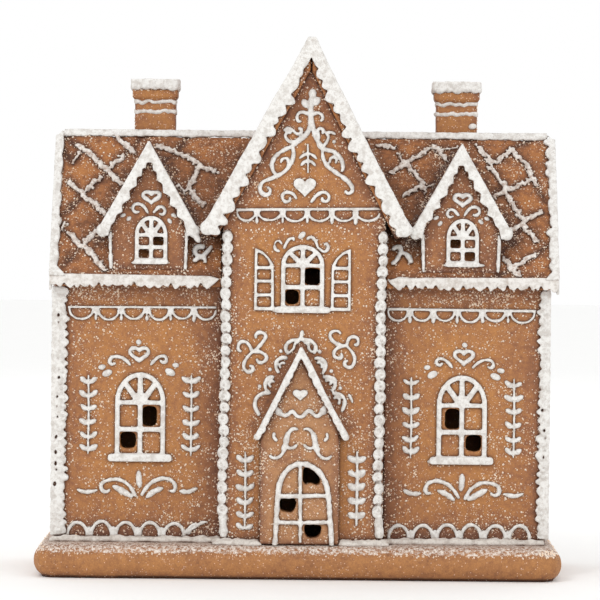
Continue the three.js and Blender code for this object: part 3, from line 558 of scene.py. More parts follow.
class Batch:
    """Shapes of dough or icing laid on a face and melted into one skin."""

    def __init__(self, face: Matrix, seed: int, rise: float = 1.2) -> None:
        """Starts a batch.

        Args:
            face: The frame that the shapes are drawn in, in millimetres.
            seed: Where its unevenness comes from.
            rise: How far the strands stand off the face.
        """
        self.face = face
        self.rise = rise
        self.draw = random.Random(seed)
        self.solid = bmesh.new()
        self.strands = bpy.data.curves.new("strands", "CURVE")
        self.strands.dimensions = "3D"
        self.strands.bevel_depth = 1.0
        self.strands.bevel_resolution = 2
        self.strands.use_fill_caps = True

    def strand(
        self,
        points: Sequence[Point],
        half_width: float,
        taper: float = 0.62,
        closed: bool = False,
        face: Matrix | None = None,
        straight: bool = False,
        fullness: float = 2.6,
        ripple: float = 0.0,
    ) -> None:
        """Lays a round strand of icing along a line.

        Args:
            points: The points that it passes.
            half_width: Half its width in the middle.
            taper: The share of its width that it has at its ends.
            closed: Whether it comes back to its start.
            face: Another frame than the batch's own.
            straight: Whether the points aren't smoothed.
            fullness: How soon it is at its full width.
            ripple: How far it wanders to either side.
        """
        line = list(points) if straight else flowing(points, closed)
        spline = self.strands.splines.new("POLY")
        spline.points.add(len(line) - 1)
        spline.use_cyclic_u = closed
        swing = self.draw.uniform(0, 50)
        for i, ((x, y), spot) in enumerate(zip(line, spline.points)):
            t = i / max(1, len(line) - 1)
            ends = 1.0 if closed else taper + (1 - taper) * min(1.0, fullness * math.sin(math.pi * t))
            wobble = noise.noise(Vector((x * 0.55, y * 0.55, swing)))
            radius = half_width * ends * (1 + 0.42 * wobble)
            aside = (0.12 + ripple) * noise.noise_vector(Vector((x * 0.45, y * 0.45, swing + 9)))
            spot.co = (
                *((face or self.face) @ Vector((x + aside.x, y + aside.y, self.rise - 0.9 * radius))), 1.0
            )
            spot.radius = radius

    def flat(
        self,
        outline: Sequence[Point],
        holes: Iterable[Sequence[Point]] = (),
        low: float = -0.4,
        high: float = 1.6,
        face: Matrix | None = None,
    ) -> None:
        """Lays a flat shape with holes.

        Args:
            outline: Its outer line.
            holes: The lines of its holes.
            low: Where its back is, along the face's normal.
            high: Where its front is.
            face: Another frame than the batch's own.
        """
        edges = []
        for line in [outline, *holes]:
            corners = [self.solid.verts.new((x, y, low)) for x, y in line]
            edges += [self.solid.edges.new(pair) for pair in zip(corners, corners[1:] + corners[:1])]
        filled = bmesh.ops.triangle_fill(self.solid, use_beauty=True, edges=edges)["geom"]
        faces = [part for part in filled if isinstance(part, bmesh.types.BMFace)]
        raised = bmesh.ops.extrude_face_region(self.solid, geom=faces)["geom"]
        tops = [part for part in raised if isinstance(part, bmesh.types.BMVert)]
        bmesh.ops.translate(self.solid, verts=tops, vec=(0, 0, high - low))
        verts = tops + list({corner for edge in edges for corner in edge.verts})
        bmesh.ops.transform(self.solid, matrix=face or self.face, verts=verts)

    def drop(
        self,
        x: float,
        y: float,
        length: float,
        width: float,
        heading: float = 0.0,
        height: float = 1.1,
        face: Matrix | None = None,
        sunk: float = 0.1,
    ) -> None:
        """Sets a rounded drop of icing.

        Args:
            x: Its middle along the face.
            y: Its middle up the face.
            length: How long it is.
            width: How wide it is.
            heading: Which way its length points, in degrees.
            height: How far it stands off the face.
            face: Another frame than the batch's own.
            sunk: How deep its middle is in the face.
        """
        turned = Matrix.Rotation(math.radians(heading), 4, "Z")
        sized = Matrix.Diagonal((length / 2, width / 2, height + sunk, 1))
        place = (face or self.face) @ Matrix.Translation((x, y, -sunk)) @ turned @ sized
        bmesh.ops.create_icosphere(self.solid, subdivisions=2, radius=1.0, matrix=place)

    def dot(self, x: float, y: float, radius: float, height: float = 1.1) -> None:
        """Sets a round dot of icing."""
        self.drop(x, y, 2 * radius, 2 * radius, 0.0, height)

    def leaf(self, points: Sequence[Point], half_width: float) -> None:
        """Lays a leaf: a short strand that is full in its middle and ends in points."""
        self.strand(points, half_width, 0.25, fullness=1.25)

    def trim(self, point: Sequence[float], normal: Sequence[float]) -> None:
        """Cuts off what lies in front of a plane and closes the cut."""
        everything = [*self.solid.verts, *self.solid.edges, *self.solid.faces]
        cut = bmesh.ops.bisect_plane(
            self.solid, geom=everything, plane_co=point, plane_no=normal, clear_outer=True
        )["geom_cut"]
        rims = [part for part in cut if isinstance(part, bmesh.types.BMEdge)]
        bmesh.ops.holes_fill(self.solid, edges=rims, sides=0)

    def skin(self, name: str, melt: Melt) -> bpy.types.Object:
        """Melts the shapes into one skin.

        Args:
            name: The piece's name.
            melt: How they run together.

        Returns:
            The finished piece, in metres.
        """
        if self.strands.splines:
            holder = bpy.data.objects.new("strands", self.strands)
            bpy.context.scene.collection.objects.link(holder)
            laid = bpy.data.meshes.new_from_object(
                holder.evaluated_get(bpy.context.evaluated_depsgraph_get())
            )
            self.solid.from_mesh(laid)
            bpy.data.objects.remove(holder)
            bpy.data.meshes.remove(laid)
        bmesh.ops.transform(self.solid, matrix=Matrix.Scale(MM, 4), verts=self.solid.verts)
        return melted(name, self.solid, melt)


def melted(name: str, solid: bmesh.types.BMesh, melt: Melt) -> bpy.types.Object:
    """Makes one soft skin of closed shapes.

    Args:
        name: The piece's name.
        solid: The shapes, in metres. It is freed.
        melt: How they run together.

    Returns:
        The piece, with its modifiers applied.
    """
    bmesh.ops.recalc_face_normals(solid, faces=solid.faces)
    mesh = bpy.data.meshes.new(name)
    solid.to_mesh(mesh)
    solid.free()
    piece = bpy.data.objects.new(name, mesh)
    bpy.context.scene.collection.objects.link(piece)
    skin = piece.modifiers.new("skin", "REMESH")
    skin.mode, skin.voxel_size = "VOXEL", melt.grain * MM
    soft = piece.modifiers.new("soft", "SMOOTH")
    soft.factor, soft.iterations = 0.5, melt.passes
    lumps = bpy.data.textures.new(f"{name}_lumps", "CLOUDS")
    lumps.noise_scale, lumps.noise_depth = melt.lump_size * MM, 2
    uneven = piece.modifiers.new("uneven", "DISPLACE")
    uneven.texture, uneven.strength, uneven.mid_level = lumps, melt.lump * MM, 0.5
    uneven.texture_coords = "LOCAL"
    lighter = piece.modifiers.new("lighter", "DECIMATE")
    lighter.ratio = melt.kept
    settled = bpy.data.meshes.new_from_object(piece.evaluated_get(bpy.context.evaluated_depsgraph_get()))
    piece.modifiers.clear()
    piece.data = settled
    settled.name = name
    bpy.data.meshes.remove(mesh)
    bpy.data.textures.remove(lumps)
    settled.shade_smooth()
    return piece


def soft_copy(node: str, name: str, melt: Melt) -> bpy.types.Object:
    """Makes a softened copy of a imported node.

    Args:
        node: The node's name.
        name: The piece's name.
        melt: How its edges run.

    Returns:
        The piece.
    """
    solid = bmesh.new()
    solid.from_mesh(frame["nodes"][node].data)
    bmesh.ops.remove_doubles(solid, verts=solid.verts, dist=1e-6)
    return melted(name, solid, melt)


def places_of(piece: bpy.types.Object) -> np.ndarray:
    """The vertices of a piece, in millimetres."""
    places = np.empty(len(piece.data.vertices) * 3)
    piece.data.vertices.foreach_get("co", places)
    return places.reshape(-1, 3) / MM


def move_to(piece: bpy.types.Object, places: np.ndarray) -> None:
    """Puts the vertices of a piece at places in millimetres."""
    piece.data.vertices.foreach_set("co", (places * MM).ravel())
    piece.data.update()


def paint(piece: bpy.types.Object, **fields: Field) -> None:
    """Paints fields on a piece, each under its own name."""
    places = places_of(piece)
    for name, strength in fields.items():
        layer = piece.data.attributes.new(name, "FLOAT", "POINT")
        layer.data.foreach_set("value", np.clip(strength(places), 0, 1).astype(np.float32))


def serve(
    piece: bpy.types.Object, finish: BakedFinish | IcingFinish | SugarFinish, *nodes: str
) -> bpy.types.Object:
    """Dresses a piece, sets it on the house and reports it.

    Args:
        piece: The piece.
        finish: What it is finished with.
        *nodes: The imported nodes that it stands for.

    Returns:
        The piece.
    """
    piece.data.materials.clear()
    piece.data.materials.append(finish.material())
    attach(piece, "root")
    if nodes:
        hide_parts(*nodes)
    log.info("%s: %d faces, %s", piece.name, len(piece.data.polygons), finish.name)
    return piece


def kept_in(piece: bpy.types.Object) -> bpy.types.Object:
    """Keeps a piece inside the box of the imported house."""
    low, high = (np.array(corner) / MM for corner in cad_box)
    move_to(piece, np.clip(places_of(piece), low, high))
    return piece


def ice(batch: Batch, node: str, melt: Melt, finish: IcingFinish = WHITE_ICING, name: str = "") -> None:
    """Melts a batch of icing into a piece inside the house's box and serves it.

    Args:
        batch: The icing.
        node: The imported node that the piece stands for.
        melt: How it runs together.
        finish: What it is finished with.
        name: The piece's name, when it isn't the node's.
    """
    serve(kept_in(batch.skin(name or node, melt)), finish, node)


class Piping(Batch):
    """Ornaments piped on a face."""

    def heart(self, x: float, y: float, width: float, height: float, line: float = 0.0) -> None:
        """A heart, full or drawn with a line of that width.

        Args:
            x: Its middle along the face.
            y: Its middle up the face.
            width: How wide it is.
            height: How tall it is.
            line: The width of its line, or 0 for a full heart.
        """
        if line:
            ring = heart_line(x, y, width - line, height - line)
            self.strand(ring, line / 2, closed=True, straight=True)
        else:
            self.flat(heart_line(x, y, width - 0.4, height - 0.4), high=1.2)

    def lace(self, line: Sequence[Point], scallops: Iterable[Point], fall: float) -> None:
        """A ruled line with hanging scallops, and a drop between each two.

        Args:
            line: The ends of the ruled line.
            scallops: Where each scallop starts and ends along the face.
            fall: How far the scallops hang below the line.
        """
        self.strand(line, 0.9, 0.8)
        height = line[0][1] - 0.6
        last = None
        for x0, x1 in scallops:
            dip = fall * self.draw.uniform(0.88, 1.08)
            half = (x1 - x0) / 2
            ring = [
                ((x0 + x1) / 2 - half * math.cos(a), height - dip * math.sin(a) ** 0.8)
                for a in (0.05, 0.5, 1.1, 1.57, 2.05, 2.65, 3.09)
            ]
            self.strand(ring, 0.72, 0.8)
            if last is not None:
                x, size = (last + x0) / 2, self.draw.uniform(0.75, 1.1)
                for lean in (-1.3, 0.0, 1.3):
                    self.leaf(
                        [(x + lean, height + 0.4), (x + lean * 0.5, height - 1.4), (x, height - 2.8)], 0.85
                    )
                self.leaf(
                    [(x, height - 3.2), (x + 0.1, height - 4.8), (x, height - 4.6 - 2.2 * size)],
                    1.15 * size,
                )
            last = x1

    def even_lace(self, x0: float, x1: float, count: int, height: float = 142.6, fall: float = 5.6) -> None:
        """A lace of equal scallops on a level line."""
        span = (x1 - x0) / count
        spans = [(x0 + span * (i + 0.07), x0 + span * (i + 0.93)) for i in range(count)]
        self.lace([(x0, height), (x1, height)], spans, fall)

    def arcade(self, x0: float, x1: float, count: int, foot: float = 20.4, rise: float = 7.6) -> None:
        """A row of round arches standing on a level line."""
        span = (x1 - x0) / count
        for i in range(count):
            middle, half = x0 + span * (i + 0.5), span * 0.42
            top = rise * self.draw.uniform(0.92, 1.06)
            steps = (-0.25, 0.3, 0.8, 1.3, 1.85, 2.4, 2.85, 3.4)
            self.strand([(middle + half * math.cos(a), foot + top * math.sin(a)) for a in steps], 1.0, 0.9)
            if i:
                self.leaf(
                    [(x0 + span * i, foot + 5.0), (x0 + span * i, foot + 2.6), (x0 + span * i, foot - 0.6)],
                    1.3,
                )

    def spray(
        self,
        x: float,
        low: float,
        high: float,
        heights: Iterable[float],
        spread: float = 4.6,
        full: float = 1.0,
    ) -> None:
        """An upright stem with pairs of short leaves.

        Args:
            x: Where the stem stands along the face.
            low: Its foot.
            high: Its tip.
            heights: Where its pairs of leaves spring.
            spread: How far the leaves reach out.
            full: How fat the stem and the leaves are, against the common ones.
        """
        self.strand([(x, high + 0.6), (x + 0.2, (low + high) / 2), (x, low)], 0.62 * full, 0.7)
        for height in heights:
            for way in (-1, 1):
                reach, lift = spread * self.draw.uniform(0.85, 1.12), self.draw.uniform(0.4, 1.6)
                curve = [
                    (x + way * 0.2, height - 1.6), (x + way * reach * 0.5, height - 0.7),
                    (x + way * reach, height + lift)
                ]
                self.leaf(curve, full * self.draw.uniform(1.3, 1.7))

    def foliage(
        self,
        leaves: Iterable[tuple[float, float, float, float, float]],
        tails: Iterable[tuple[float, Sequence[Point]]],
        x: float = 0.0,
        way: int = 1,
    ) -> None:
        """Sets leaves of given places, lengths, widths and headings, and lays pointed tails."""
        for dx, y, length, width, heading in leaves:
            self.drop(x + way * dx, y, length, width, way * heading, 1.2)
        for half_width, line in tails:
            self.leaf(shifted(line, x, way), half_width)

    def traced(self, lines: Iterable[tuple[float, Sequence[Point]]], x: float = 0.0, way: int = 1) -> None:
        """Lays strands of given half widths, moved along the face or mirrored."""
        for half_width, points in lines:
            self.strand(shifted(points, x, way), half_width)


# ---------------------------------------------------------------- windows
@dataclass(frozen=True)
class FanWindow:
    """An arched window of white icing: four lights round a hub over two rows of two panes, on a sill."""

    half: float = 13.4
    sill: float = 64.4
    middle: float = 77.6
    spring: float = 92.0
    top: float = 108.0
    bar: float = 2.5
    sill_half: float = 17.0
    sill_height: float = 4.0
    hub: float = 3.6
    broken: tuple[tuple[float, float, float, float], ...] = (
        (0.9, 79.2, 8.8, 90), (-10.6, 67.4, -2.2, 76.2)
    )

    def lights(self) -> dict[str, Outline]:
        """The openings between the bars, about the middle of the window."""
        inner, rise, low = self.half - self.bar, self.top - self.spring - self.bar, self.bar / 2
        panes = {
            "low_left": soft_box(-inner, self.sill + 0.4, -low, self.middle - low, 0.8),
            "low_right": soft_box(low, self.sill + 0.4, inner, self.middle - low, 0.8),
            "high_left": soft_box(-inner, self.middle + low, -low, self.spring - low, 0.8),
            "high_right": soft_box(low, self.middle + low, inner, self.spring - low, 0.8),
        }
        trim, base = math.degrees(0.5 * self.bar / inner), self.spring + 0.3 * low
        for i in range(4):
            start, end = 45 * i + (trim if i else 2), 45 * (i + 1) - (trim if i < 3 else 2)
            angles = [math.radians(start + (end - start) * k / 4) for k in range(5)]
            rim = [(inner * math.cos(a), base + (self.spring + rise - base) * math.sin(a)) for a in angles]
            a = math.radians(14 + 50.7 * i)
            panes[f"light_{i}"] = [(self.hub * math.cos(a), base + self.hub * math.sin(a)), *rim]
        return panes

    def holes(self, x: float, way: int, draw: random.Random) -> list[Outline]:
        """The ragged holes broken through the dough in two of the panes.

        Args:
            x: The window's middle along its face.
            way: -1 when the window is mirrored.
            draw: Where their raggedness comes from.

        Returns:
            The outlines of the holes.
        """
        return [shifted(ragged(soft_box(*sides, 2.3), draw), x, way) for sides in self.broken]

    def pipe(self, batch: Batch, x: float, way: int = 1) -> None:
        """Pipes the frame, its bars and its sill."""
        outer = [
            (-self.half, self.sill - 1.2), (self.half, self.sill - 1.2),
            *arch(self.half, self.spring, self.top - self.spring, 18)
        ]
        batch.flat(shifted(outer, x, way), [shifted(line, x, way) for line in self.lights().values()])
        low = self.sill - self.sill_height
        batch.flat(soft_box(x - self.sill_half, low, x + self.sill_half, self.sill, 1.5), high=COAT + 1.2)
        for place in range(-2, 3):
            spot = x + place * self.sill_half * 0.42 + batch.draw.uniform(-1.4, 1.4)
            batch.drop(
                spot,
                low + self.sill_height * batch.draw.uniform(0.2, 0.4),
                6,
                0.6 * self.sill_height,
                0,
                COAT + 1.3,
            )


def ragged(outline: Outline, draw: random.Random) -> Outline:
    """An outline with its corners knocked about a little."""
    line = flowing(outline, True, 1.1)
    return [(x + draw.uniform(-0.22, 0.22), y + draw.uniform(-0.22, 0.22)) for x, y in line]


WING_WINDOW = FanWindow()
BAY_WINDOW = FanWindow(
    11.4, 144, 154.4, 166, 176.8, 2.2, 14.8, 3.2, 3.0, ((0.9, 155.6, 9.6, 164.6), (-9.3, 145.2, -1.8, 153))
)
DORMER_WINDOW = FanWindow(
    8.6, 168.6, 174.8, 181.4, 191.4, 2.0, 9.2, 2.8, 2.8, ((1.1, 175.2, 6.6, 181), (-6.8, 169, -1.2, 174.6))
)


# ---------------------------------------------------------------- the plan of the house
@dataclass(frozen=True)
class Gable:
    """The top lines of a gabled roof: its peak and its two tips."""

    apex: Point
    left: Point
    right: Point
    thick: float

    def moved(self, out: float) -> Outline:
        """The left tip, peak and right tip with the lines moved out of the roof by a distance."""
        slopes = [(self.apex[1] - tip[1]) / (self.apex[0] - tip[0]) for tip in (self.left, self.right)]
        reach = [math.hypot(1, m) for m in slopes]
        tips = [
            (
                tip[0] - out * m / r, tip[1] + out / r
            ) for tip, m, r in zip((self.left, self.right), slopes, reach)
        ]
        dx = out * (reach[1] - reach[0]) / (slopes[0] - slopes[1])
        peak = (self.apex[0] + dx, self.apex[1] + slopes[0] * dx + out * reach[0])
        return [tips[0], peak, tips[1]]

    def chevron(self, top: float, bottom: float) -> Outline:
        """Both panels in one outline."""
        return [*self.moved(bottom), *reversed(self.moved(top))]

    def wall(self, x0: float, x1: float, floor: float, under: float) -> Outline:
        """A wall under the roof, from a floor up to its underside."""
        left, peak, right = self.moved(-under)
        low = [left[1] + (peak[1] - left[1]) * (x0 - left[0]) / (peak[0] - left[0])]
        low.append(right[1] + (peak[1] - right[1]) * (x1 - right[0]) / (peak[0] - right[0]))
        return [(x0, floor), (x1, floor), (x1, low[1]), peak, (x0, low[0])]

    def mirrored(self) -> "Gable":
        """The gable as it is seen from behind."""
        flip = [(-x, z) for x, z in (self.apex, self.right, self.left)]
        return Gable(flip[0], flip[1], flip[2], self.thick)


@dataclass(frozen=True)
class Plan:
    """The driving sizes of the house, in millimetres."""

    floor: float = 18.3
    wall: float = 6.0
    wing_x: float = 0.8
    wing_half: float = 131.0
    wing_front: float = -36.0
    wing_back: float = 48.0
    wing_top: float = 160.9
    bay_x: float = 1.8
    bay_half: float = 43.0
    bay_front: float = -48.0
    bay_back: float = 52.0
    roof_x: float = 2.2
    roof_half: float = 133.6
    eave: float = 160.0
    fascia: float = 154.0
    ridge: float = 236.0
    ridge_y: float = 6.0
    eave_y: float = -44.0
    roof_thick: float = 6.0
    porch_front: float = -55.0
    dormer_front: float = -42.5
    bay_gable: Gable = Gable((5, 282.6), (-49.8, 183), (55.8, 182.6), 6)
    porch_gable: Gable = Gable((0.9, 121), (-22.6, 74.4), (25.6, 74.4), 3)

    @property
    def tangent(self) -> float:
        """How steep the main roof is."""
        return (self.ridge - self.eave) / (self.ridge_y - self.eave_y)

    @property
    def slope(self) -> float:
        """How long the main roof is from its eave to its ridge."""
        return math.hypot(self.ridge_y - self.eave_y, self.ridge - self.eave)

    def slope_face(self, back: bool) -> Matrix:
        """The frame of a slope of the main roof: local y up it from the eave, z out of it."""
        way, angle = (-1 if back else 1), math.atan(self.tangent)
        c, s = math.cos(angle), math.sin(angle)
        y = 2 * self.ridge_y - self.eave_y if back else self.eave_y
        return Matrix(((way, 0, 0, 0), (0, way * c, -way * s, y), (0, s, c, self.eave), (0, 0, 0, 1)))

    def dormer_gable(self, x: float) -> Gable:
        """The roof of a dormer."""
        return Gable((x, 225.5), (x - 24.6, 182), (x + 24.6, 182), 4)


PLAN = Plan()
WINDOW_X = {Side.LEFT: -84.6, Side.RIGHT: 86.8}
DORMER_X = {Side.LEFT: -80.8, Side.RIGHT: 85.2}
CHIMNEY_X = {Side.LEFT: -79.8, Side.RIGHT: 84.4}
FRONT_WING = wall_face(0, -PLAN.wing_front)
BACK_WING = wall_face(180, PLAN.wing_back)
FRONT_BAY = wall_face(0, -PLAN.bay_front)
BACK_BAY = wall_face(180, PLAN.bay_back)
FRONT_PORCH = wall_face(0, -PLAN.porch_front)
FRONT_DORMER = wall_face(0, -PLAN.dormer_front)
SIDE_FACE = {
    Side.LEFT: wall_face(-90, PLAN.wing_half - PLAN.wing_x, -PLAN.ridge_y),
    Side.RIGHT: wall_face(90, PLAN.wing_half + PLAN.wing_x, PLAN.ridge_y),
}
LEVEL = Matrix.Identity(4)


# ---------------------------------------------------------------- sub-assemblies
@dataclass
class House:
    """The whole ornament, whose parts lay their pieces one after another."""

    dough: list[bpy.types.Object] = field(default_factory=list)

    def bake(
        self,
        piece: bpy.types.Object,
        finish: BakedFinish,
        tone: Field,
        frost: Field,
        *nodes: str,
        smear: Field | None = None,
    ) -> None:
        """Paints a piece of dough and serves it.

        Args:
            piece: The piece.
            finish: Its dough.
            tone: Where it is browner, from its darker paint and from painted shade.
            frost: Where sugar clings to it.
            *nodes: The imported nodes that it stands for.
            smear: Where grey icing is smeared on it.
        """
        paint(piece, tone=tone, frost=frost, smear=smear or falloff_field([]))
        self.dough.append(serve(piece, finish, *nodes))


@dataclass
class Board:
    """The thick board with its round nose, with painted shade at its foot and along its rim under the icing
    that lies on it.
    """

    rim: float = 18.0
    covered: float = 13.2

    def build(self, house: House) -> None:
        """Lays the board."""
        piece = soft_copy("board", "board", BOARD_MELT)
        places = places_of(piece)
        places[:, 2] = np.where(places[:, 2] < 1.0, 0.0, places[:, 2])
        move_to(piece, places)
        kept_in(piece)

        def tone(at: np.ndarray) -> np.ndarray:
            """Painted shade: darker at the foot and along the rim."""
            under = np.exp(-np.abs(at[:, 2] - self.rim) / 3.0) * 0.6
            foot = np.exp(-at[:, 2] / 2.5) * 0.4
            return 0.05 + np.maximum(under, foot)

        def cover(at: np.ndarray) -> np.ndarray:
            """Smeared with icing above a waved line."""
            wave = np.array([noise.noise(Vector((x * 0.16, y * 0.16, 3.0))) for x, y in at[:, :2]])
            return 1.9 * np.clip((at[:, 2] - self.covered - 1.5 * wave) / 1.6, 0, 1)

        frost = falloff_field([Rub((-140, 16), (140, 16), 0.7, 3.2)], ground=0.12)
        house.bake(piece, BOARD_DOUGH, tone, frost, "board", smear=cover)


@dataclass
class WingFront:
    """A wing's front wall with its window, its lace, its arcade and its ornaments."""

    side: Side
    lace_line: tuple[Point, Point] = ((-39.2, 142.5), (40.2, 142.9))
    scallops: tuple[Point, ...] = (
        (-38.2, -25.6), (-22.6, -11.7), (-9.4, 1.6), (4.6, 14.8), (16.8, 27), (29.4, 39.9)
    )
    crown: Traced = (
        (0.95, [
            (-5.3, 111.8), (-8.4, 114.8), (-11.8, 116.2), (-15.2, 116), (-16.6, 113.7), (-15.2, 111.9),
            (-13.4, 112.9)
        ]),
        (0.95, [
            (5.2, 111.9), (7.9, 115), (10.6, 116.7), (13.3, 116.4), (13.7, 114.2), (11.8, 113.3),
            (10.4, 114.6)
        ]),
    )
    leaves: tuple[tuple[float, float, float, float, float], ...] = (
        (-17.8, 107.4, 6.2, 3.9, 22),
        (-20.6, 110.6, 4.6, 3.1, 10),
        (15.8, 108.2, 6.4, 4.0, -28),
        (18.7, 112.0, 4.0, 2.9, -6),
    )
    apron: Traced = (
        (1.1, [
            (-1.9, 41.6), (-5.3, 47.2), (-10.6, 50.5), (-16.5, 50.4), (-20.3, 48.2), (-19.9, 44.8),
            (-17.2, 44.1), (-15.8, 45.6)
        ]),
        (1.1, [
            (0.9, 42.2), (3.7, 46.5), (7.4, 49.9), (12.6, 51.5), (17.1, 50.4), (19, 47.4), (18.3, 44.8),
            (16, 45.1)
        ]),
    )
    tails: Traced = (
        (1.9, [(-3.6, 41.4), (-8.6, 44.2), (-14.3, 47.3)]),
        (1.7, [(3.5, 41.1), (7.4, 44.3), (12.6, 46.4)]),
        (1.3, [(-33.5, 45.2), (-28.5, 43.8), (-22.3, 45.0)]),
        (1.4, [(21.1, 44.8), (26.2, 44.5), (30.8, 46.6)]),
        (1.8, [(-0.5, 55.6), (-0.4, 50.5), (0.1, 46.2)]),
    )
    stem: tuple[float, float, tuple[float, ...]] = (64, 105.8, (103.8, 96.6, 89.5, 82, 74.5, 68))
    heart: tuple[float, ...] = (117.4, 12.4, 9.4, 2.2)
    bead: Point = (124.1, 1.6)

    @property
    def ends(self) -> Point:
        """Where the wall starts and ends."""
        inner = PLAN.bay_x + self.side.value * (PLAN.bay_half + GAP)
        outer = PLAN.wing_x + self.side.value * PLAN.wing_half
        return (min(inner, outer), max(inner, outer))

    def falloffs(self) -> list[Rub]:
        """The lines along which the wall is darker: the darker paint of its edges and foot, and a band of
        painted shade under the eave.
        """
        x0, x1 = self.ends
        return [
            Rub((x0, PLAN.floor), (x0, 160), 0.8, 8),
            Rub((x1, PLAN.floor), (x1, 160), 0.8, 8),
            # Painted shade under the eave.
            Rub((x0, 155), (x1, 155), 0.55, 8),
            Rub((x0, 22), (x1, 22), 0.75, 7),
        ]

    def dress(self, piping: Piping, x: float, way: int = 1, lean: int = 0, short: bool = False) -> None:
        """Pipes the heart and crown over a window and the apron under it.

        Args:
            piping: What they are piped with.
            x: The window's middle.
            way: -1 where they are mirrored.
            lean: Which way the heart is off the middle.
            short: Whether the tails beside the apron are left out.
        """
        piping.heart(x - 0.8 * lean, *self.heart)
        piping.dot(x - 1.2 * lean, *self.bead)
        piping.traced(self.crown, x, way)
        piping.traced(self.apron, x, way)
        piping.foliage(self.leaves, self.tails[:2] + self.tails[4:] if short else self.tails, x, way)

    def build(self, house: House) -> None:
        """Builds the wall, its window and its piping."""
        x, way, seed = WINDOW_X[self.side], -self.side.value, 11 + self.side.value
        draw = random.Random(seed)
        wall = Batch(FRONT_WING, seed)
        holes = WING_WINDOW.holes(x, way, draw)
        x0, x1 = self.ends
        wall.flat(box(x0, PLAN.floor, x1, PLAN.wing_top), holes, -PLAN.wall, 0)
        piece = wall.skin(f"wall_front_{self.side.word}", FRONT_MELT)
        frost = falloff_field(
            [
                Rub((x0, 150), (x1, 150), 0.45, 8), Rub((x0, 26), (x1, 26), 0.4, 6),
                Rub((x0, 20), (x0, 160), 0.35, 4), Rub((x1, 20), (x1, 160), 0.35, 4)
            ],
            ground=0.1,
        )
        house.bake(piece, WALL_DOUGH, falloff_field(self.falloffs()), frost, f"front_wall_{self.side.word}")

        window = Batch(FRONT_WING, seed + 2)
        WING_WINDOW.pipe(window, x, way)
        ice(window, f"window_front_{self.side.word}", FRAME_MELT)

        piping = Piping(FRONT_WING, seed + 4)
        scallops = sorted(tuple(sorted(x + way * a for a in pair)) for pair in self.scallops)
        piping.lace(shifted(self.lace_line, x, way)[::way], scallops, 5.6)
        if self.side is Side.LEFT:
            piping.arcade(x - 39.5, x + 25.1, 5)
            piping.dot(x + 26.2, 23.4, 1.9, 1.4)
            piping.leaf([(x + 25.8, 24.4), (x + 28.6, 27), (x + 31.6, 27.2)], 0.9)
            piping.leaf([(x + 27.4, 23.8), (x + 29.8, 25.6), (x + 33, 27.8), (x + 37, 28.6)], 0.9)
        else:
            piping.arcade(x - 39.5, x + 38, 6)
        self.dress(piping, x, way, way)
        piping.spray(x - 27.7 * way, *self.stem)
        piping.spray(x + 27.1 * way, 63.4, 106.3, (104.6, 96.8, 89.3, 81.8, 74.3, 68.2))
        ice(piping, f"front_wall_{self.side.word}", PIPING_MELT, name=f"piping_front_{self.side.word}")


@dataclass
class WingBack:
    """A wing's back wall: its blind window, its lace and its ornaments."""

    side: Side

    def build(self, house: House) -> None:
        """Builds the wall, its window and its piping."""
        front = WingFront(self.side)
        x0, x1 = sorted(-x for x in front.ends)
        x, seed = -WINDOW_X[self.side], 31 + self.side.value
        wall = Batch(BACK_WING, seed)
        wall.flat(box(x0, PLAN.floor, x1, PLAN.wing_top), (), -PLAN.wall, 0)
        frost = falloff_field(
            [Rub((-132, 150), (132, 150), 0.45, 8), Rub((-132, 26), (132, 26), 0.4, 6)], ground=0.1
        )
        house.bake(
            wall.skin(f"wall_back_{self.side.word}", PANEL_MELT),
            WALL_DOUGH,
            falloff_field(front.falloffs()),
            frost,
            f"back_wall_{self.side.word}",
        )
        window = Batch(BACK_WING, seed + 2)
        WING_WINDOW.pipe(window, x)
        ice(window, f"window_back_{self.side.word}", FRAME_MELT)
        piping = Piping(BACK_WING, seed + 4)
        piping.even_lace(x0 + 6, x1 - 6, 6)
        piping.arcade(x0 + 6, x1 - 6, 6)
        front.dress(piping, x)
        for dx in (-27.7, 27.1):
            piping.spray(x + dx, *front.stem)
        ice(piping, f"back_wall_{self.side.word}", PIPING_MELT, name=f"piping_back_{self.side.word}")


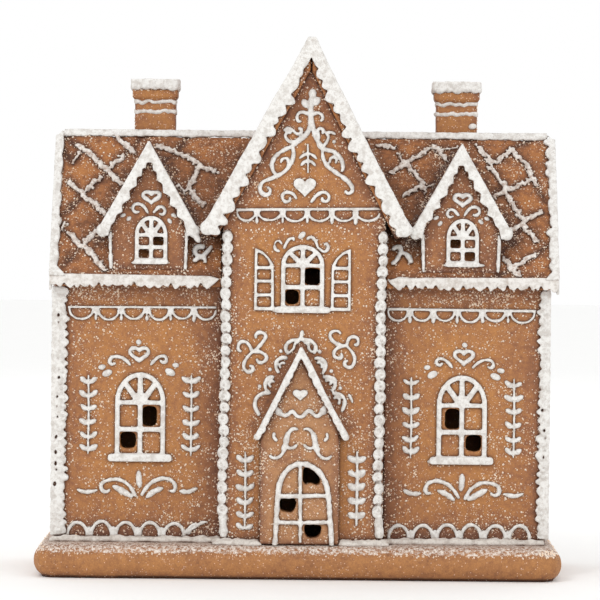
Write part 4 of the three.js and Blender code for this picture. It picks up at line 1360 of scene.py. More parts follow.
@dataclass
class SideWall:
    """An end wall under the roof, with a window, a lace, two sprays and a heart."""

    side: Side
    half: float = 35.7

    def build(self, house: House) -> None:
        """Builds the wall, its window and its piping."""
        face, seed = SIDE_FACE[self.side], 51 + self.side.value
        under = PLAN.ridge - PLAN.roof_thick / math.cos(math.atan(PLAN.tangent)) - 2 * GAP
        eave = under - self.half * PLAN.tangent
        outline = [
            (-self.half, PLAN.floor), (self.half, PLAN.floor), (self.half, eave), (0, under),
            (-self.half, eave)
        ]
        wall = Batch(face, seed)
        wall.flat(outline, WING_WINDOW.holes(0, 1, random.Random(seed)), -PLAN.wall, 0)
        y0, y1 = PLAN.wing_front, PLAN.wing_back
        # Darker along the edges and foot from the darker paint there, and painted shade under the roof.
        falloffs = [
            Rub((y0, 18), (y0, 160), 0.7, 6), Rub((y1, 18), (y1, 160), 0.7, 6),
            Rub((y0, 22), (y1, 22), 0.7, 6), Rub((y0, 160), (6, 230), 1.0, 7),
            Rub((6, 230), (y1, 160), 1.0, 7)
        ]
        frost = [
            Rub((y0, 158), (6, 228), 0.5, 7), Rub((6, 228), (y1, 158), 0.5, 7),
            Rub((y0, 24), (y1, 24), 0.4, 6)
        ]
        piece = wall.skin(f"wall_side_{self.side.word}", SIDE_MELT)
        house.bake(
            piece,
            WALL_DOUGH,
            falloff_field(falloffs, (1, 2)),
            falloff_field(frost, (1, 2), 0.1),
            f"side_wall_{self.side.word}",
        )
        window = Batch(face, seed + 2)
        WING_WINDOW.pipe(window, 0)
        ice(window, f"window_side_{self.side.word}", FRAME_MELT)
        piping = Piping(face, seed + 4)
        piping.even_lace(-31, 31, 5)
        piping.arcade(-31, 31, 5)
        front = WingFront(self.side)
        front.dress(piping, 0, short=True)
        for x in (-25.4, 25.4):
            piping.spray(x, *front.stem, 3.6)
        piping.heart(0, 176, 14, 11)
        for way in (-1, 1):
            piping.strand(
                [
                    (way * 4, 165), (way * 8, 168.6), (way * 12.6, 169), (way * 14.4, 166),
                    (way * 12.4, 163.8), (way * 10.4, 165.2)
                ],
                1.0,
            )
        piping.leaf([(0, 186.4), (0.1, 190), (0, 195)], 1.5)
        for height in (198, 202, 206):
            piping.dot(0, height, 1.3)
        ice(piping, f"side_wall_{self.side.word}", PIPING_MELT, name=f"piping_side_{self.side.word}")


@dataclass
class BayFront:
    """The tall front of the bay: its gable ornament, its lace, its window with shutters and its piping."""

    window_x: float = 1.3
    gable: Traced = (
        (1.5, [(5.1, 254.8), (4.7, 250.4), (4.8, 245.9)]),
        (1.5, [(4.8, 246.7), (4.5, 240), (2.3, 235.2), (-1.8, 231.8), (-5.4, 228.8)]),
        (1.5, [(4.8, 246.7), (5.6, 240), (7.5, 234.1), (9.4, 230.4), (10.9, 227.5)]),
        (1.2, [
            (-5.1, 228.9), (-10.6, 226.1), (-14.3, 222.8), (-15.6, 219.1), (-14.6, 215.4), (-12.7, 213.5)
        ]),
        (1.2, [
            (-4.7, 228.9), (-4.1, 224.4), (-5.3, 219.9), (-8.3, 216.2), (-12, 213.5), (-16.4, 211.6),
            (-20.1, 210.1), (-21.6, 207.9), (-21.4, 204.9), (-19.3, 203.1), (-16.7, 203.8), (-16.4, 206.1),
            (-18, 207.2)
        ]),
        (0.85, [(-10.9, 220.2), (-9.8, 222.4), (-7.6, 222.5), (-6.7, 219.9), (-7.4, 217.3)]),
        (0.95, [(4.1, 245.6), (1.1, 247), (-1.5, 246.6), (-2.6, 244.4), (-1.9, 242.2), (0, 242.2)]),
        (0.95, [(5.5, 245.6), (8.5, 246.7), (10.7, 245.6), (11.1, 243.4), (9.8, 242.3)]),
        (0.95, [(-1.8, 231.8), (-6.2, 231.4), (-8.6, 234), (-7.7, 236.3), (-5.5, 235.8)]),
        (0.95, [
            (-9.6, 237.1), (-7.8, 238.4), (-5.2, 237.8), (-2.5, 235.5), (-0.3, 235.9), (-0.2, 238.1),
            (-2, 238.5)
        ]),
        (0.95, [(9, 231.9), (9, 234.9), (8.4, 237.1), (9.7, 238.6), (11.6, 237.5), (10.8, 235.6)]),
        (0.95, [(10.9, 227.5), (13.5, 231.9), (14.2, 234.5), (13, 236), (15.6, 236.6), (18.1, 235.3)]),
        (1.2, [(10.9, 227.5), (15.4, 226.8), (19.1, 224.9), (21.4, 221.6), (22.1, 217.9), (21.4, 215.7)]),
        (1.2, [
            (10.9, 227.5), (11.7, 222.3), (14, 218.6), (17.7, 215.7), (22.2, 212.7), (25.2, 210.2),
            (27.1, 207.6), (26.9, 205.2), (24.9, 204.2), (23.2, 205.8)
        ]),
        (0.85, [(15.1, 220.1), (15.4, 222.7), (17.3, 223.4), (18.8, 222), (18, 220.1)]),
        (0.95, [(3.4, 230.4), (3.6, 214.8)]),
        (0.95, [
            (-2.2, 201), (-4.1, 203.6), (-6.7, 204.7), (-9.3, 203.9), (-9.8, 201.3), (-8.1, 199.5),
            (-5.9, 200.2), (-5.9, 202.1)
        ]),
        (0.95, [
            (5.2, 199.2), (7.4, 202.2), (10.4, 204.5), (13.4, 204.5), (15, 202.3), (13.8, 200),
            (11.5, 200.4), (11.3, 202.2)
        ]),
    )
    tree: tuple[Outline, ...] = (
        [(3.5, 225.5), (1.2, 224.4), (-1.3, 222.2)],
        [(3.5, 225.5), (5.8, 224.4), (8.4, 222.2)],
        [(3.5, 221.8), (1.6, 220.8), (-0.3, 218.6)],
        [(3.5, 221.8), (5.5, 220.8), (7.7, 218.5)],
    )
    middle: Traced = (
        (0.85, [(-3.5, 178.9), (-3.8, 180.5), (-5.9, 179.8), (-7.6, 177.4), (-8.9, 174.6)]),
        (0.6, [(-9.8, 177), (-11.1, 178.8), (-13, 178.6), (-13.9, 176.6)]),
        (0.85, [(-13.9, 176.4), (-13.2, 174.2), (-11, 173.1)]),
        (0.85, [(3.3, 179.6), (4.1, 180.5), (5.9, 181), (8, 178.8), (9.1, 175.5)]),
        (0.6, [(7.9, 178.9), (9.4, 179.7)]),
        (0.85, [(9.1, 175.5), (11.6, 173.6), (13.4, 173.5), (14.7, 175.2), (13.9, 177.6), (12.3, 177)]),
        (1.0, [
            (-24.9, 120.2), (-22.7, 121.6), (-19.9, 124.8), (-18, 128), (-18.9, 129.9), (-21.8, 130.2),
            (-23.4, 128.6), (-22.8, 127)
        ]),
        (1.0, [
            (-24.9, 119.9), (-26.3, 122.8), (-28.2, 125), (-30.8, 125.3), (-32.4, 123.4), (-32.3, 120.8),
            (-30.7, 119.9)
        ]),
        (1.0, [
            (-24.9, 119.9), (-28.1, 116.4), (-29.5, 113.1), (-29, 110.6), (-26.8, 109.2), (-24.8, 110),
            (-24.9, 112.2), (-26.7, 112.5)
        ]),
        (1.0, [
            (-24.9, 119.9), (-21.1, 120), (-18.5, 118.7), (-17.3, 116.8), (-19.1, 114.5), (-21.7, 114.5),
            (-22.7, 116.4)
        ]),
        (1.0, [
            (25.1, 123.6), (21.9, 123.9), (19.3, 124.8), (16.7, 127.1), (16, 129.6), (17.9, 131.3),
            (20.5, 131.3), (21.8, 129.7)
        ]),
        (1.0, [
            (25.1, 123.6), (21.2, 122.9), (18.4, 120.7), (18.4, 118.1), (20.7, 116.8), (22.6, 118.1),
            (21.9, 119.7)
        ]),
        (1.0, [
            (25.1, 123.6), (25.7, 126.8), (27.6, 128.5), (30.5, 127.8), (31.2, 125.6), (30.2, 124),
            (28.9, 124.6)
        ]),
        (1.0, [
            (25.1, 123.6), (28, 120.1), (29.3, 116.9), (28.4, 113.1), (26.5, 112.1), (24.2, 113),
            (24.2, 115.3), (25.8, 115.6)
        ]),
        (1.1, [(0.3, 126.6), (-3.8, 126.2), (-6.7, 124.3), (-7.3, 121.4), (-5.8, 118.8)]),
        (1.1, [(-6.3, 116.9), (-9.5, 116.9), (-12.1, 114.9), (-12.3, 111.4), (-10.7, 108.8)]),
        (1.1, [(-13.3, 106.9), (-16.5, 105.9), (-18, 103), (-17.4, 99.8), (-15.1, 97.9)]),
        (1.1, [(-15.4, 98.2), (-19.6, 97.8), (-22.5, 95.5), (-23.4, 92), (-22.4, 88.8), (-20.8, 86.2)]),
        (0.85, [(-0.1, 125.9), (-2.5, 124.3), (-3, 122.1), (-5.4, 119.5)]),
        (0.85, [(-9.8, 111.4), (-10.4, 113.3), (-8.8, 114.3), (-7.4, 113.7)]),
        (0.85, [(-15.1, 101.1), (-16, 103.3), (-14.2, 104.6), (-12.9, 103.8)]),
        (1.1, [(1, 126.6), (5.2, 126.3), (8.1, 124.1), (8.4, 121.2), (7.2, 119.3)]),
        (1.1, [(7.8, 116.7), (11, 116.7), (13.6, 114.8), (13.6, 111.6), (12.1, 108.4)]),
        (1.1, [(12.4, 106.8), (15.6, 106.8), (18.8, 105.3), (18.9, 102), (17, 99.5)]),
        (1.1, [(17.6, 98.2), (21.2, 97.9), (23.8, 95.7), (24.1, 92.5), (22.5, 88.6)]),
        (0.85, [(2.3, 125.3), (4.5, 124.1), (4.9, 121.8), (6.8, 119.9)]),
        (0.85, [(11.4, 111.6), (12, 113.5), (10.4, 114.8), (9.1, 114.2)]),
        (0.85, [(16, 102.7), (16.9, 104.3), (15.3, 105.5), (13.7, 104.6)]),
        (0.85, [(20.9, 92.4), (21.5, 95), (19.9, 96.3), (18.3, 95.6)]),
    )
    dots: tuple[Point, ...] = (
        (-9.9, 120.4), (10.7, 120.3), (16.9, 110.1), (21.8, 101.1), (-15.5, 110.7), (-20.9, 101.7)
    )
    joints: tuple[float, ...] = (-34.4, -23.3, -9.6, 3.4, 16.4, 29, 42.4)
    shutter: tuple[Outline, ...] = (
        [(15, 142), (25.6, 142), (25.4, 175), (21, 173), (17.6, 169.6), (15.4, 166)],
    )

    def panes(self) -> list[Outline]:
        """The four shutter openings on the right, about the window's middle."""
        rows = ((143.7, 149.4), (150.9, 156.7), (158.2, 163.8))
        return [soft_box(16.6, low, 24.2, high, 0.6) for low, high in rows] + [
            [(16.9, 165.4), (24.1, 165.4), (24.0, 172.8), (21.2, 171.6), (18.6, 169)]
        ]

    def outline(self) -> Outline:
        """The wall's outline, up into its gable."""
        x0, x1 = PLAN.bay_x - PLAN.bay_half, PLAN.bay_x + PLAN.bay_half
        return PLAN.bay_gable.wall(x0, x1, PLAN.floor, PLAN.bay_gable.thick - 0.9)

    def shutters(self, batch: Batch, x: float) -> None:
        """Pipes the two shutters, whose tops sweep up to their outer edges."""
        for way in (-1, 1):
            holes = [shifted(line, x, way) for line in self.panes()]
            batch.flat(shifted(self.shutter[0], x, way), holes)

    def falloffs(self) -> list[Rub]:
        """The lines along which the wall is darker: the darker paint of its edges, and painted shade under
        the porch roof and under its own roof.
        """
        return falloffs_along(self.outline(), 0.8, 6, True) + [
            Rub((-24, 80), (1, 124), 0.5, 5),
            Rub((26, 80), (1, 124), 0.5, 5),
            Rub((-34, 192), (42, 192), 0.35, 5),
        ]

    def build(self, house: House) -> None:
        """Builds the wall, its window and its piping."""
        draw = random.Random(71)
        wall = Batch(FRONT_BAY, 71)
        holes = BAY_WINDOW.holes(self.window_x, 1, draw)
        wall.flat(self.outline(), [*holes, *Door().holes(draw)], -PLAN.wall, 0)
        frost = falloffs_along(self.outline(), 0.3, 5, True)
        frost += [
            Rub((x, 30), (x, 150), 0.45, 4)
            for x in (-38, 41)
        ] + [Rub((x, 24), (x, 84), 0.3, 12) for x in (-28, 30)]
        house.bake(
            wall.skin("wall_bay_front", FRONT_MELT),
            WALL_DOUGH,
            falloff_field(self.falloffs()),
            falloff_field(frost, ground=0.07),
            "bay_wall_front",
        )

        window = Batch(FRONT_BAY, 73)
        BAY_WINDOW.pipe(window, self.window_x)
        self.shutters(window, self.window_x)
        ice(window, "window_bay_front", FRAME_MELT)

        piping = Piping(FRONT_BAY, 75)
        piping.traced(self.gable)
        piping.drop(5.6, 256.9, 5.6, 4.6, 90, 1.3)
        for x, y, heading in ((1.7, 251.6, 125), (7.9, 252.8, 60)):
            piping.drop(x, y, 5.6, 4.0, heading, 1.2)
        for line in self.tree:
            piping.leaf(line, 0.9)
        piping.heart(2, 207, 12.6, 10.8)
        piping.dot(17.2, 231.6, 1.1)
        spans = [(a + 0.7, b - 0.7) for a, b in zip(self.joints, self.joints[1:])]
        piping.lace([(-34.4, 195.1), (42.4, 196.3)], spans, 5.2)
        piping.traced(self.middle)
        for x, z in self.dots:
            piping.dot(x, z, 1.15)
        piping.drop(0.7, 181.9, 5.2, 3.3, 46, 1.2)
        piping.leaf([(1.4, 131.6), (1.1, 129.4), (0.5, 127)], 1.2)
        piping.leaf([(26, 98.3), (27.4, 96), (28.6, 93.1)], 0.9)
        piping.spray(-28.2, 27, 66.7, (63.5, 55.8, 48.4, 41, 33.9, 27.5), 4.4)
        piping.spray(31, 28, 67.3, (64, 56.3, 49.3, 41.9, 34.1), 4.4, 1.3)
        ice(piping, "bay_wall_front", PIPING_MELT, name="piping_bay_front")


@dataclass
class BayBack:
    """The back of the bay, with a window on each floor."""

    def build(self, house: House) -> None:
        """Builds the wall, its windows and its piping."""
        front = BayFront()
        wall = Batch(BACK_BAY, 81)
        wall.flat(shifted(front.outline(), 0, -1), (), -PLAN.wall, 0)
        house.bake(
            wall.skin("wall_bay_back", PANEL_MELT),
            WALL_DOUGH,
            falloff_field(front.falloffs()),
            falloff_field([Rub((-34, 190), (42, 190), 0.4, 8)], ground=0.12),
            "bay_wall_back",
        )
        window = Batch(BACK_BAY, 83)
        BAY_WINDOW.pipe(window, -front.window_x)
        front.shutters(window, -front.window_x)
        ice(window, "window_bay_back", FRAME_MELT)
        low = Batch(BACK_BAY, 85)
        WING_WINDOW.pipe(low, -PLAN.bay_x)
        ice(low, "window_back_middle", FRAME_MELT)
        piping = Piping(BACK_BAY, 87)
        piping.traced(front.gable, 0, -1)
        piping.heart(-2, 207, 12.6, 10.8)
        for line in front.tree:
            piping.leaf(shifted(line, 0, -1), 0.9)
        spans = [(-b + 0.7, -a - 0.7) for a, b in zip(front.joints, front.joints[1:])]
        piping.lace([(-42.4, 195.4), (34.4, 195.4)], spans[::-1], 5.2)
        wing, x = WingFront(Side.LEFT), -PLAN.bay_x
        wing.dress(piping, x, short=True)
        for dx in (-27, 27):
            piping.spray(x + dx, *wing.stem)
        piping.arcade(x - 37, x + 37, 6)
        ice(piping, "bay_wall_back", PIPING_MELT, name="piping_bay_back")


@dataclass
class BayFlank:
    """A side wall of the bay and the roof panel over it."""

    side: Side
    ends: Point = (-52.0, 56.0)

    def build(self, house: House) -> None:
        """Builds the wall and the roof panel."""
        word, way = self.side.word, self.side.value
        wall = soft_copy(f"bay_wall_{word}", f"wall_bay_{word}", PANEL_MELT)
        # Darker along the front edge from the darker paint there, and most under the roof panel, where it
        # is painted shade.
        house.bake(
            wall,
            WALL_DOUGH,
            falloff_field([Rub((-48, 20), (-48, 180), 0.7, 5), Rub((-48, 182), (52, 182), 0.8, 6)], (1, 2), 0.25),
            falloff_field([], ground=0.15),
            f"bay_wall_{word}",
        )
        roof = soft_copy(f"bay_roof_{word}", f"roof_bay_{word}", SLAB_MELT)
        gable = PLAN.bay_gable
        tip = gable.left if way < 0 else gable.right
        falloffs = [Rub((self.ends[0], z), (self.ends[1], z), 0.7, 7) for z in (tip[1], gable.apex[1])]
        run, rise = gable.apex[0] - tip[0], gable.apex[1] - tip[1]
        length = math.hypot(run, rise)
        columns = (
            (0, way, 0), (run / length, 0, rise / length), (way * rise / length, 0, -way * run / length),
            (tip[0], 0, tip[1])
        )
        slope = Matrix([[column[row] for column in columns] for row in range(3)] + [[0, 0, 0, 1]])
        lines = self.lattice(length, rise / length, tip[1])
        # Darker beside the worn lines: painted shade of the grooves between pillowed tiles, with the darker
        # paint there.
        seams = [
            Rub(*((way * x, tip[1] + y * rise / length) for x, y in pair), 0.75, 3.2)
            for line in lines
            for pair in zip(line, line[1:])
        ]
        smear = [Rub(r.start, r.end, 1.0, 1.3) for r in seams]
        house.bake(
            roof,
            ROOF_DOUGH,
            falloff_field(falloffs + seams, (1, 2), 0.16),
            falloff_field(falloffs + seams, (1, 2), 0.2),
            f"bay_roof_{word}",
            smear=falloff_field(smear, (1, 2)),
        )
        piping = Piping(slope, 85 + way, 0.6)
        for line in lines:
            piping.strand(line, 1.15, 0.5, ripple=1.6)
        piping.strand(
            [(way * self.ends[0], length - 1.4), (0, length - 0.8), (way * self.ends[1], length - 1.4)],
            2.0,
            0.9,
            ripple=0.8,
        )
        ice(piping, f"bay_roof_{word}", BAY_LINES_MELT, WORN_ICING, name=f"bay_roof_lines_{word}")

    def lattice(self, length: float, lift: float, foot: float) -> list[Outline]:
        """The worn lines on the part of the panel that stands clear of the main roof.

        Args:
            length: How long the slope is.
            lift: How far it rises for each millimetre along it.
            foot: The height of its foot.

        Returns:
            The lines, in the slope's own frame.
        """
        way, draw, lines = self.side.value, random.Random(83 + self.side.value), []
        for lean in (-1, 1):
            for start in range(-150, 160, 22):
                line: Outline = []
                for t in range(0, int(length) - 4, 6):
                    x, y = start + lean * t * 0.8 + draw.uniform(-0.8, 0.8), float(t)
                    main = PLAN.ridge - abs(way * x - PLAN.ridge_y) * PLAN.tangent
                    clear = foot + y * lift > max(main, foot) + 4
                    if clear and self.ends[0] + 5 < way * x < self.ends[1] - 4:
                        line.append((x, y))
                if len(line) > 1:
                    lines.append(line)
        return lines


@dataclass(frozen=True)
class BandShape:
    """How an icing band on a gable is drawn: its edges, its lobes, its tips and its round peak."""

    inside: float
    swell: float
    lobes: int
    lap: float
    tip: float
    outside: float = OUTSIDE
    cut: float = 5.0


def gable_band(batch: Batch, gable: Gable, shape: BandShape) -> None:
    """Lays an icing band over the end of a gabled roof, with a lobed inner edge, rounded tips and peak.

    Args:
        batch: The batch, on the face of the roof's end.
        gable: The roof's top lines.
        shape: How the band is drawn.
    """
    outer, inner = gable.moved(shape.outside), gable.moved(-shape.inside)
    outer[0], outer[2] = between(outer[0], outer[1], 0.022), between(outer[2], outer[1], 0.028)
    slopes: Outline = []
    for start, turn in ((inner[0], 1), (inner[2], -1)):
        dx, dy = inner[1][0] - start[0], inner[1][1] - start[1]
        length = math.hypot(dx, dy)
        push = turn * shape.swell * dy / length, -turn * shape.swell * dx / length
        line = lobed(start, inner[1], push, shape.lobes, batch.draw, 0.2)[::turn]
        slopes += line[1:] if slopes else line
    left, peak, right = outer
    steps = (0.0, 0.16, 0.34, 0.5, 0.68, 0.84)
    sides = []
    for tip in (right, left):
        length = math.hypot(peak[0] - tip[0], peak[1] - tip[1])
        spots = [between(tip, peak, t * (1 - shape.cut / length)) for t in steps]
        sides.append(
            [(x + batch.draw.uniform(-0.5, 0.5), y) for x, y in spots]
            + [between(tip, peak, 1 - shape.cut / length)]
        )
    crown = [
        (peak[0] + dx * shape.cut, peak[1] - dy * shape.cut)
        for dx, dy in ((0.3, 0.5), (0.0, 0.36), (-0.3, 0.5))
    ]
    outline = [left, *slopes, *sides[0], *crown, *reversed(sides[1][1:])]
    batch.flat(outline, low=GAP, high=OUTSIDE + 0.4)
    lap = [*reversed(gable.moved(GAP)), *sides[1], *reversed(crown), *reversed(sides[0])]
    batch.flat(lap, low=-shape.lap, high=OUTSIDE)
    for (x, y), inner_tip in zip((left, right), (inner[0], inner[2])):
        middle = between((x, y), inner_tip, 0.5)
        batch.drop(*between(middle, peak, 0.01), 2 * shape.tip, 2 * shape.tip, 0, COAT + 0.8)
    for _ in range(2 * shape.lobes):
        start, end = batch.draw.choice(((left, peak), (right, peak)))
        x, y = between(start, end, batch.draw.uniform(0.02, 0.93))
        depth = (shape.outside + shape.inside) * batch.draw.uniform(0.25, 0.6)
        batch.drop(
            x,
            y - depth * 1.6,
            6.5,
            shape.inside * 0.9,
            60 if start is left else 120,
            COAT + batch.draw.uniform(0.4, 1.0),
        )


@dataclass
class GableIcing:
    """The thick icing on an end of the bay's roof."""

    back: bool
    shape: BandShape = BandShape(2.5, 3.9, 15, 6, 4.3, 3.6, 6.5)

    def build(self) -> None:
        """Lays the band."""
        word = "back" if self.back else "front"
        face = wall_face(180, 56) if self.back else wall_face(0, 52)
        batch = Batch(face, 90 + self.back)
        gable_band(batch, PLAN.bay_gable.mirrored() if self.back else PLAN.bay_gable, self.shape)
        ice(batch, f"gable_icing_{word}", BAND_MELT)


@dataclass
class Door:
    """The tall arched door of six lights."""

    frame: Outline = field(
        default_factory=lambda: [
            (-12.1, 17.6), (-11.4, 30.8), (-10.7, 44.9), (-9.2, 52.4), (-5.6, 58.2), (-0.6, 61.0),
            (4.6, 60.9), (10.2, 57.7), (14.1, 52), (15.9, 44.6), (17.1, 31), (18.0, 17.8)
        ]
    )
    bars: Traced = (
        (1.05, [(1.0, 60.4), (1.1, 44), (1.3, 30), (1.2, 19.4)]),
        (1.15, [(-10.4, 44.0), (2, 44.2), (15.4, 44.5)]),
        (1.15, [(-11, 30.2), (2, 30.1), (16.8, 30.5)]),
    )
    broken: tuple[Outline, ...] = (
        [(2.7, 59.2), (6.2, 58.6), (9.6, 56.2), (11.7, 52.4), (10.2, 49.8), (6.4, 51), (2.9, 50.4)],
        [(-9.5, 43), (-5, 43.2), (-1.3, 42.8), (-1.2, 38.6), (-3.2, 35.2), (-6.6, 35.6), (-9.4, 36.8)],
        [(3.6, 28.9), (8, 29.1), (12, 28.6), (12, 24.2), (9.4, 22), (5.4, 22.2), (3.7, 24)],
    )

    def holes(self, draw: random.Random) -> list[Outline]:
        """The ragged holes in three of the lights."""
        return [ragged(line, draw) for line in self.broken]

    def build(self) -> None:
        """Pipes the door's frame and bars."""
        batch = Batch(FRONT_PORCH, 101, 1.8)
        batch.strand(self.frame, 1.45, 0.95)
        for half_width, line in self.bars:
            batch.strand(line, half_width, 0.8)
        ice(batch, "door", FRAME_MELT)


@dataclass
class Porch:
    """The porch: a gabled panel round the door, with flourishes, a waved line and a heart."""

    x: float = 0.7
    half: float = 20.8
    lip: float = 2.5
    cover: float = 2.2
    mirror: float = 1.0
    flourish: Traced = (
        (1.0, [
            (-15.6, 65.6), (-12.9, 64.1), (-9.4, 65.4), (-7.4, 69.4), (-6.4, 74.2), (-4.9, 78.1),
            (-2.6, 79.8), (-0.4, 79.4)
        ]),
        (1.7, [(-8.2, 67.6), (-7.0, 71.2), (-6.2, 75.4), (-5.4, 77.6)]),
        (0.85, [(-6.6, 70.6), (-4.6, 69.4), (-2.2, 70.0), (-0.8, 71.6)]),
        (0.9, [(-12.8, 77.6), (-13.1, 75.2), (-11.4, 73.2)]),
    )
    waved: Outline = field(
        default_factory=lambda: [
            (-11.8, 90.4), (-8.2, 86.9), (-5.7, 87.4), (-3.4, 89.2), (-1.5, 86.9), (1.4, 86), (4.2, 88.9),
            (6.1, 89.2), (8.7, 86.7), (10.7, 86.9), (13.4, 90.2)
        ]
    )

    def build(self, house: House) -> None:
        """Builds the panel, its roof and its icing."""
        gable, draw = PLAN.porch_gable, random.Random(111)
        x0, x1 = self.x - self.half, self.x + self.half
        wall = Batch(FRONT_PORCH, 111)
        outline = gable.wall(x0, x1, PLAN.floor, self.cover - 0.9)
        wall.flat(outline, Door().holes(draw), PLAN.porch_front - PLAN.bay_front + GAP, 0)
        falloffs = falloffs_along(outline, 0.75, 3.4, True) + [
            Rub((-9, 62), (0, 66), 0.4, 4), Rub((8, 66), (17, 60), 0.4, 4)
        ]
        frost = [
            Rub((x0, 40), (x0, 70), 0.5, 3), Rub((x1, 40), (x1, 70), 0.5, 3),
            Rub((-14, 94), (14, 94), 0.5, 6)
        ]
        house.bake(
            wall.skin("porch_wall", PORCH_MELT),
            PORCH_DOUGH,
            falloff_field(falloffs),
            falloff_field(frost, ground=0.12),
            "porch_wall",
        )

        piping = Piping(FRONT_PORCH, 113)
        piping.heart(0.6, 97.4, 8.6, 6.6)
        piping.traced([(1.0, self.waved)])
        piping.traced(self.flourish)
        piping.traced(self.flourish, 2 * self.mirror, -1)
        for ends in ((-14.4, 92.2), (-9.0, 86.8)), ((15.6, 92.6), (10.8, 86.8)):
            piping.leaf([ends[0], between(*ends, 0.5), ends[1]], 2.2)
        ice(piping, "porch_wall", PIPING_MELT, name="porch_piping")

        end = PLAN.porch_front - self.lip
        roof = Batch(wall_face(0, 0), 115)
        roof.flat(gable.chevron(0, -self.cover), low=48.3, high=-end)
        house.bake(
            roof.skin("porch_roof", PORCH_ROOF_MELT),
            ROOF_DOUGH,
            falloff_field([], ground=0.5),
            falloff_field([], ground=0.4),
            "porch_roof",
        )

        band = Batch(wall_face(0, -end), 117)
        gable_band(band, gable, BandShape(1.5, 0.8, 11, 7, 1.9, 1.3, 2.2))
        ice(band, "porch_icing", PORCH_BAND_MELT)


@dataclass
class Dormer:
    """A dormer: its front, cheeks, roof, window and icing."""

    side: Side
    half: float = 20.4
    foot: float = 162.6
    cheek: float = 6.3
    thick: float = 4.0
    cover: float = 2.6
    lip: float = 3.5
    outside: float = 2.9
    drops: int = 16
    strips: Point = (-20.3, 20.3)
    curls: Traced = (
        (0.9, [
            (-0.3, 192.8), (-2.4, 196.1), (-4.9, 197.7), (-7.7, 197.2), (-8.5, 194.8), (-6.8, 193.2),
            (-4.8, 193.6)
        ]),
        (0.9, [(2.5, 192.9), (4.9, 195.7), (7.3, 196.2), (8.8, 194.1), (7.4, 192.1), (5.3, 192.9)]),
    )
    inner: Outline = field(
        default_factory=lambda: [
            (-21.2, 180.4), (-19.6, 186.4), (-17.8, 188.2), (-16.6, 191.9), (-13.6, 193.4), (-14.0, 197.2),
            (-9.6, 200.4), (-10.2, 204.8),
            (-6.2, 207.4), (-6.2, 211.9), (-3.6, 212.4), (-3.4, 216.4), (-1.4, 216.8), (-1.2, 219.6),
            (2.0, 219.6), (2.4, 215.6), (4.4, 214.6), (4.6, 210.2),
            (7.4, 208.4), (7.8, 203.8), (11.8, 201.6), (11.2, 197.2), (15.2, 195.6), (15.2, 191.4),
            (18.8, 189.0), (20.8, 180.6),
        ]
    )

    def build(self, house: House) -> None:
        """Builds the dormer."""
        x, way, word = DORMER_X[self.side], -self.side.value, self.side.word
        seed, window_x = 131 + self.side.value, x + (1.5 if self.side is Side.LEFT else 0.9)
        gable = PLAN.dormer_gable(x)
        outline = gable.wall(x - self.half, x + self.half, self.foot, self.cover - 0.8)
        wall = Batch(FRONT_DORMER, seed)
        holes = DORMER_WINDOW.holes(window_x, way, random.Random(seed))
        wall.flat(outline, holes, -self.thick, 0)
        for start in (x - self.half, x + self.half - self.cheek):
            wall.flat(
                [(-42.5, 162.8), (-30.6, 180.4), (-29.6, 186.4), (-42.5, 186.4)],
                low=start,
                high=start + self.cheek,
                face=SIDEWAYS,
            )
        falloffs = falloffs_along(outline, 0.8, 5, True)
        piece = wall.skin(f"dormer_{word}", DORMER_MELT)
        sugared = [Rub(r.start, r.end, 0.4, 4) for r in falloffs]
        house.bake(
            piece, WALL_DOUGH, falloff_field(falloffs, ground=0.3), falloff_field(sugared, ground=0.08), f"dormer_{word}"
        )

        window = Batch(FRONT_DORMER, seed + 4)
        DORMER_WINDOW.pipe(window, window_x, way)
        ice(window, f"window_dormer_{word}", DORMER_FRAME_MELT)

        piping = Piping(FRONT_DORMER, seed + 8)
        piping.heart(x + 0.4 * way + 1.0, 201.2, 11.4, 8.2, 2.3)
        piping.traced(self.curls, x + (1 - way) * 0.6, way)
        for dx, y, heading in (
            (-13.6, 191.6, 20), (-10.4, 189.9, 40), (13.4, 191.8, -20), (11.2, 188.8, -50)
        ):
            piping.drop(x + way * dx, y, 3.6, 2.3, way * heading, 1.1)
        for place in self.strips:
            piping.strand([(x + place, 183), (x + place * 0.99, 174), (x + place * 0.97, 163)], 0.95, 0.9)
        ice(piping, f"dormer_{word}", PIPING_MELT, name=f"piping_dormer_{word}")

        cover = Batch(wall_face(0, 0), seed + 10)
        cover.flat(gable.chevron(0, -self.cover), low=-5.8, high=self.lip - PLAN.dormer_front)
        cover.trim((0, PLAN.eave_y, PLAN.eave - 3), (0, PLAN.tangent, -1))
        roof = cover.skin(f"dormer_roof_{word}", DORMER_ROOF_MELT)
        house.bake(roof, ROOF_DOUGH, falloff_field([], ground=0.6), falloff_field([], ground=0.5), f"dormer_roof_{word}")

        band = Batch(wall_face(0, -PLAN.dormer_front + self.lip), seed + 12)
        outer = gable.moved(self.outside)
        ring = shifted(self.inner, x, way)[::way]
        crown = [
            between(outer[1], outer[2], 0.06), (outer[1][0], outer[1][1] - 1.6),
            between(outer[1], outer[0], 0.06)
        ]
        band.flat([outer[0], *ring, outer[2], *crown], low=GAP, high=OUTSIDE + 0.4)
        band.flat(gable.chevron(self.outside, GAP), low=-5, high=OUTSIDE)
        for place in (-24.2, 24.2):
            band.drop(x + place, 183.6, 6.8, 7.4, 0, COAT + 0.6)
        for i in range(self.drops):
            start = outer[0] if i % 2 else outer[2]
            spot = between(start, outer[1], band.draw.uniform(0.04, 0.9))
            band.drop(
                spot[0], spot[1] - 5.6, 6, 3.4, 60 if i % 2 else 120, COAT + band.draw.uniform(0.4, 0.9)
            )
        ice(band, f"dormer_icing_{word}", DORMER_BAND_MELT)


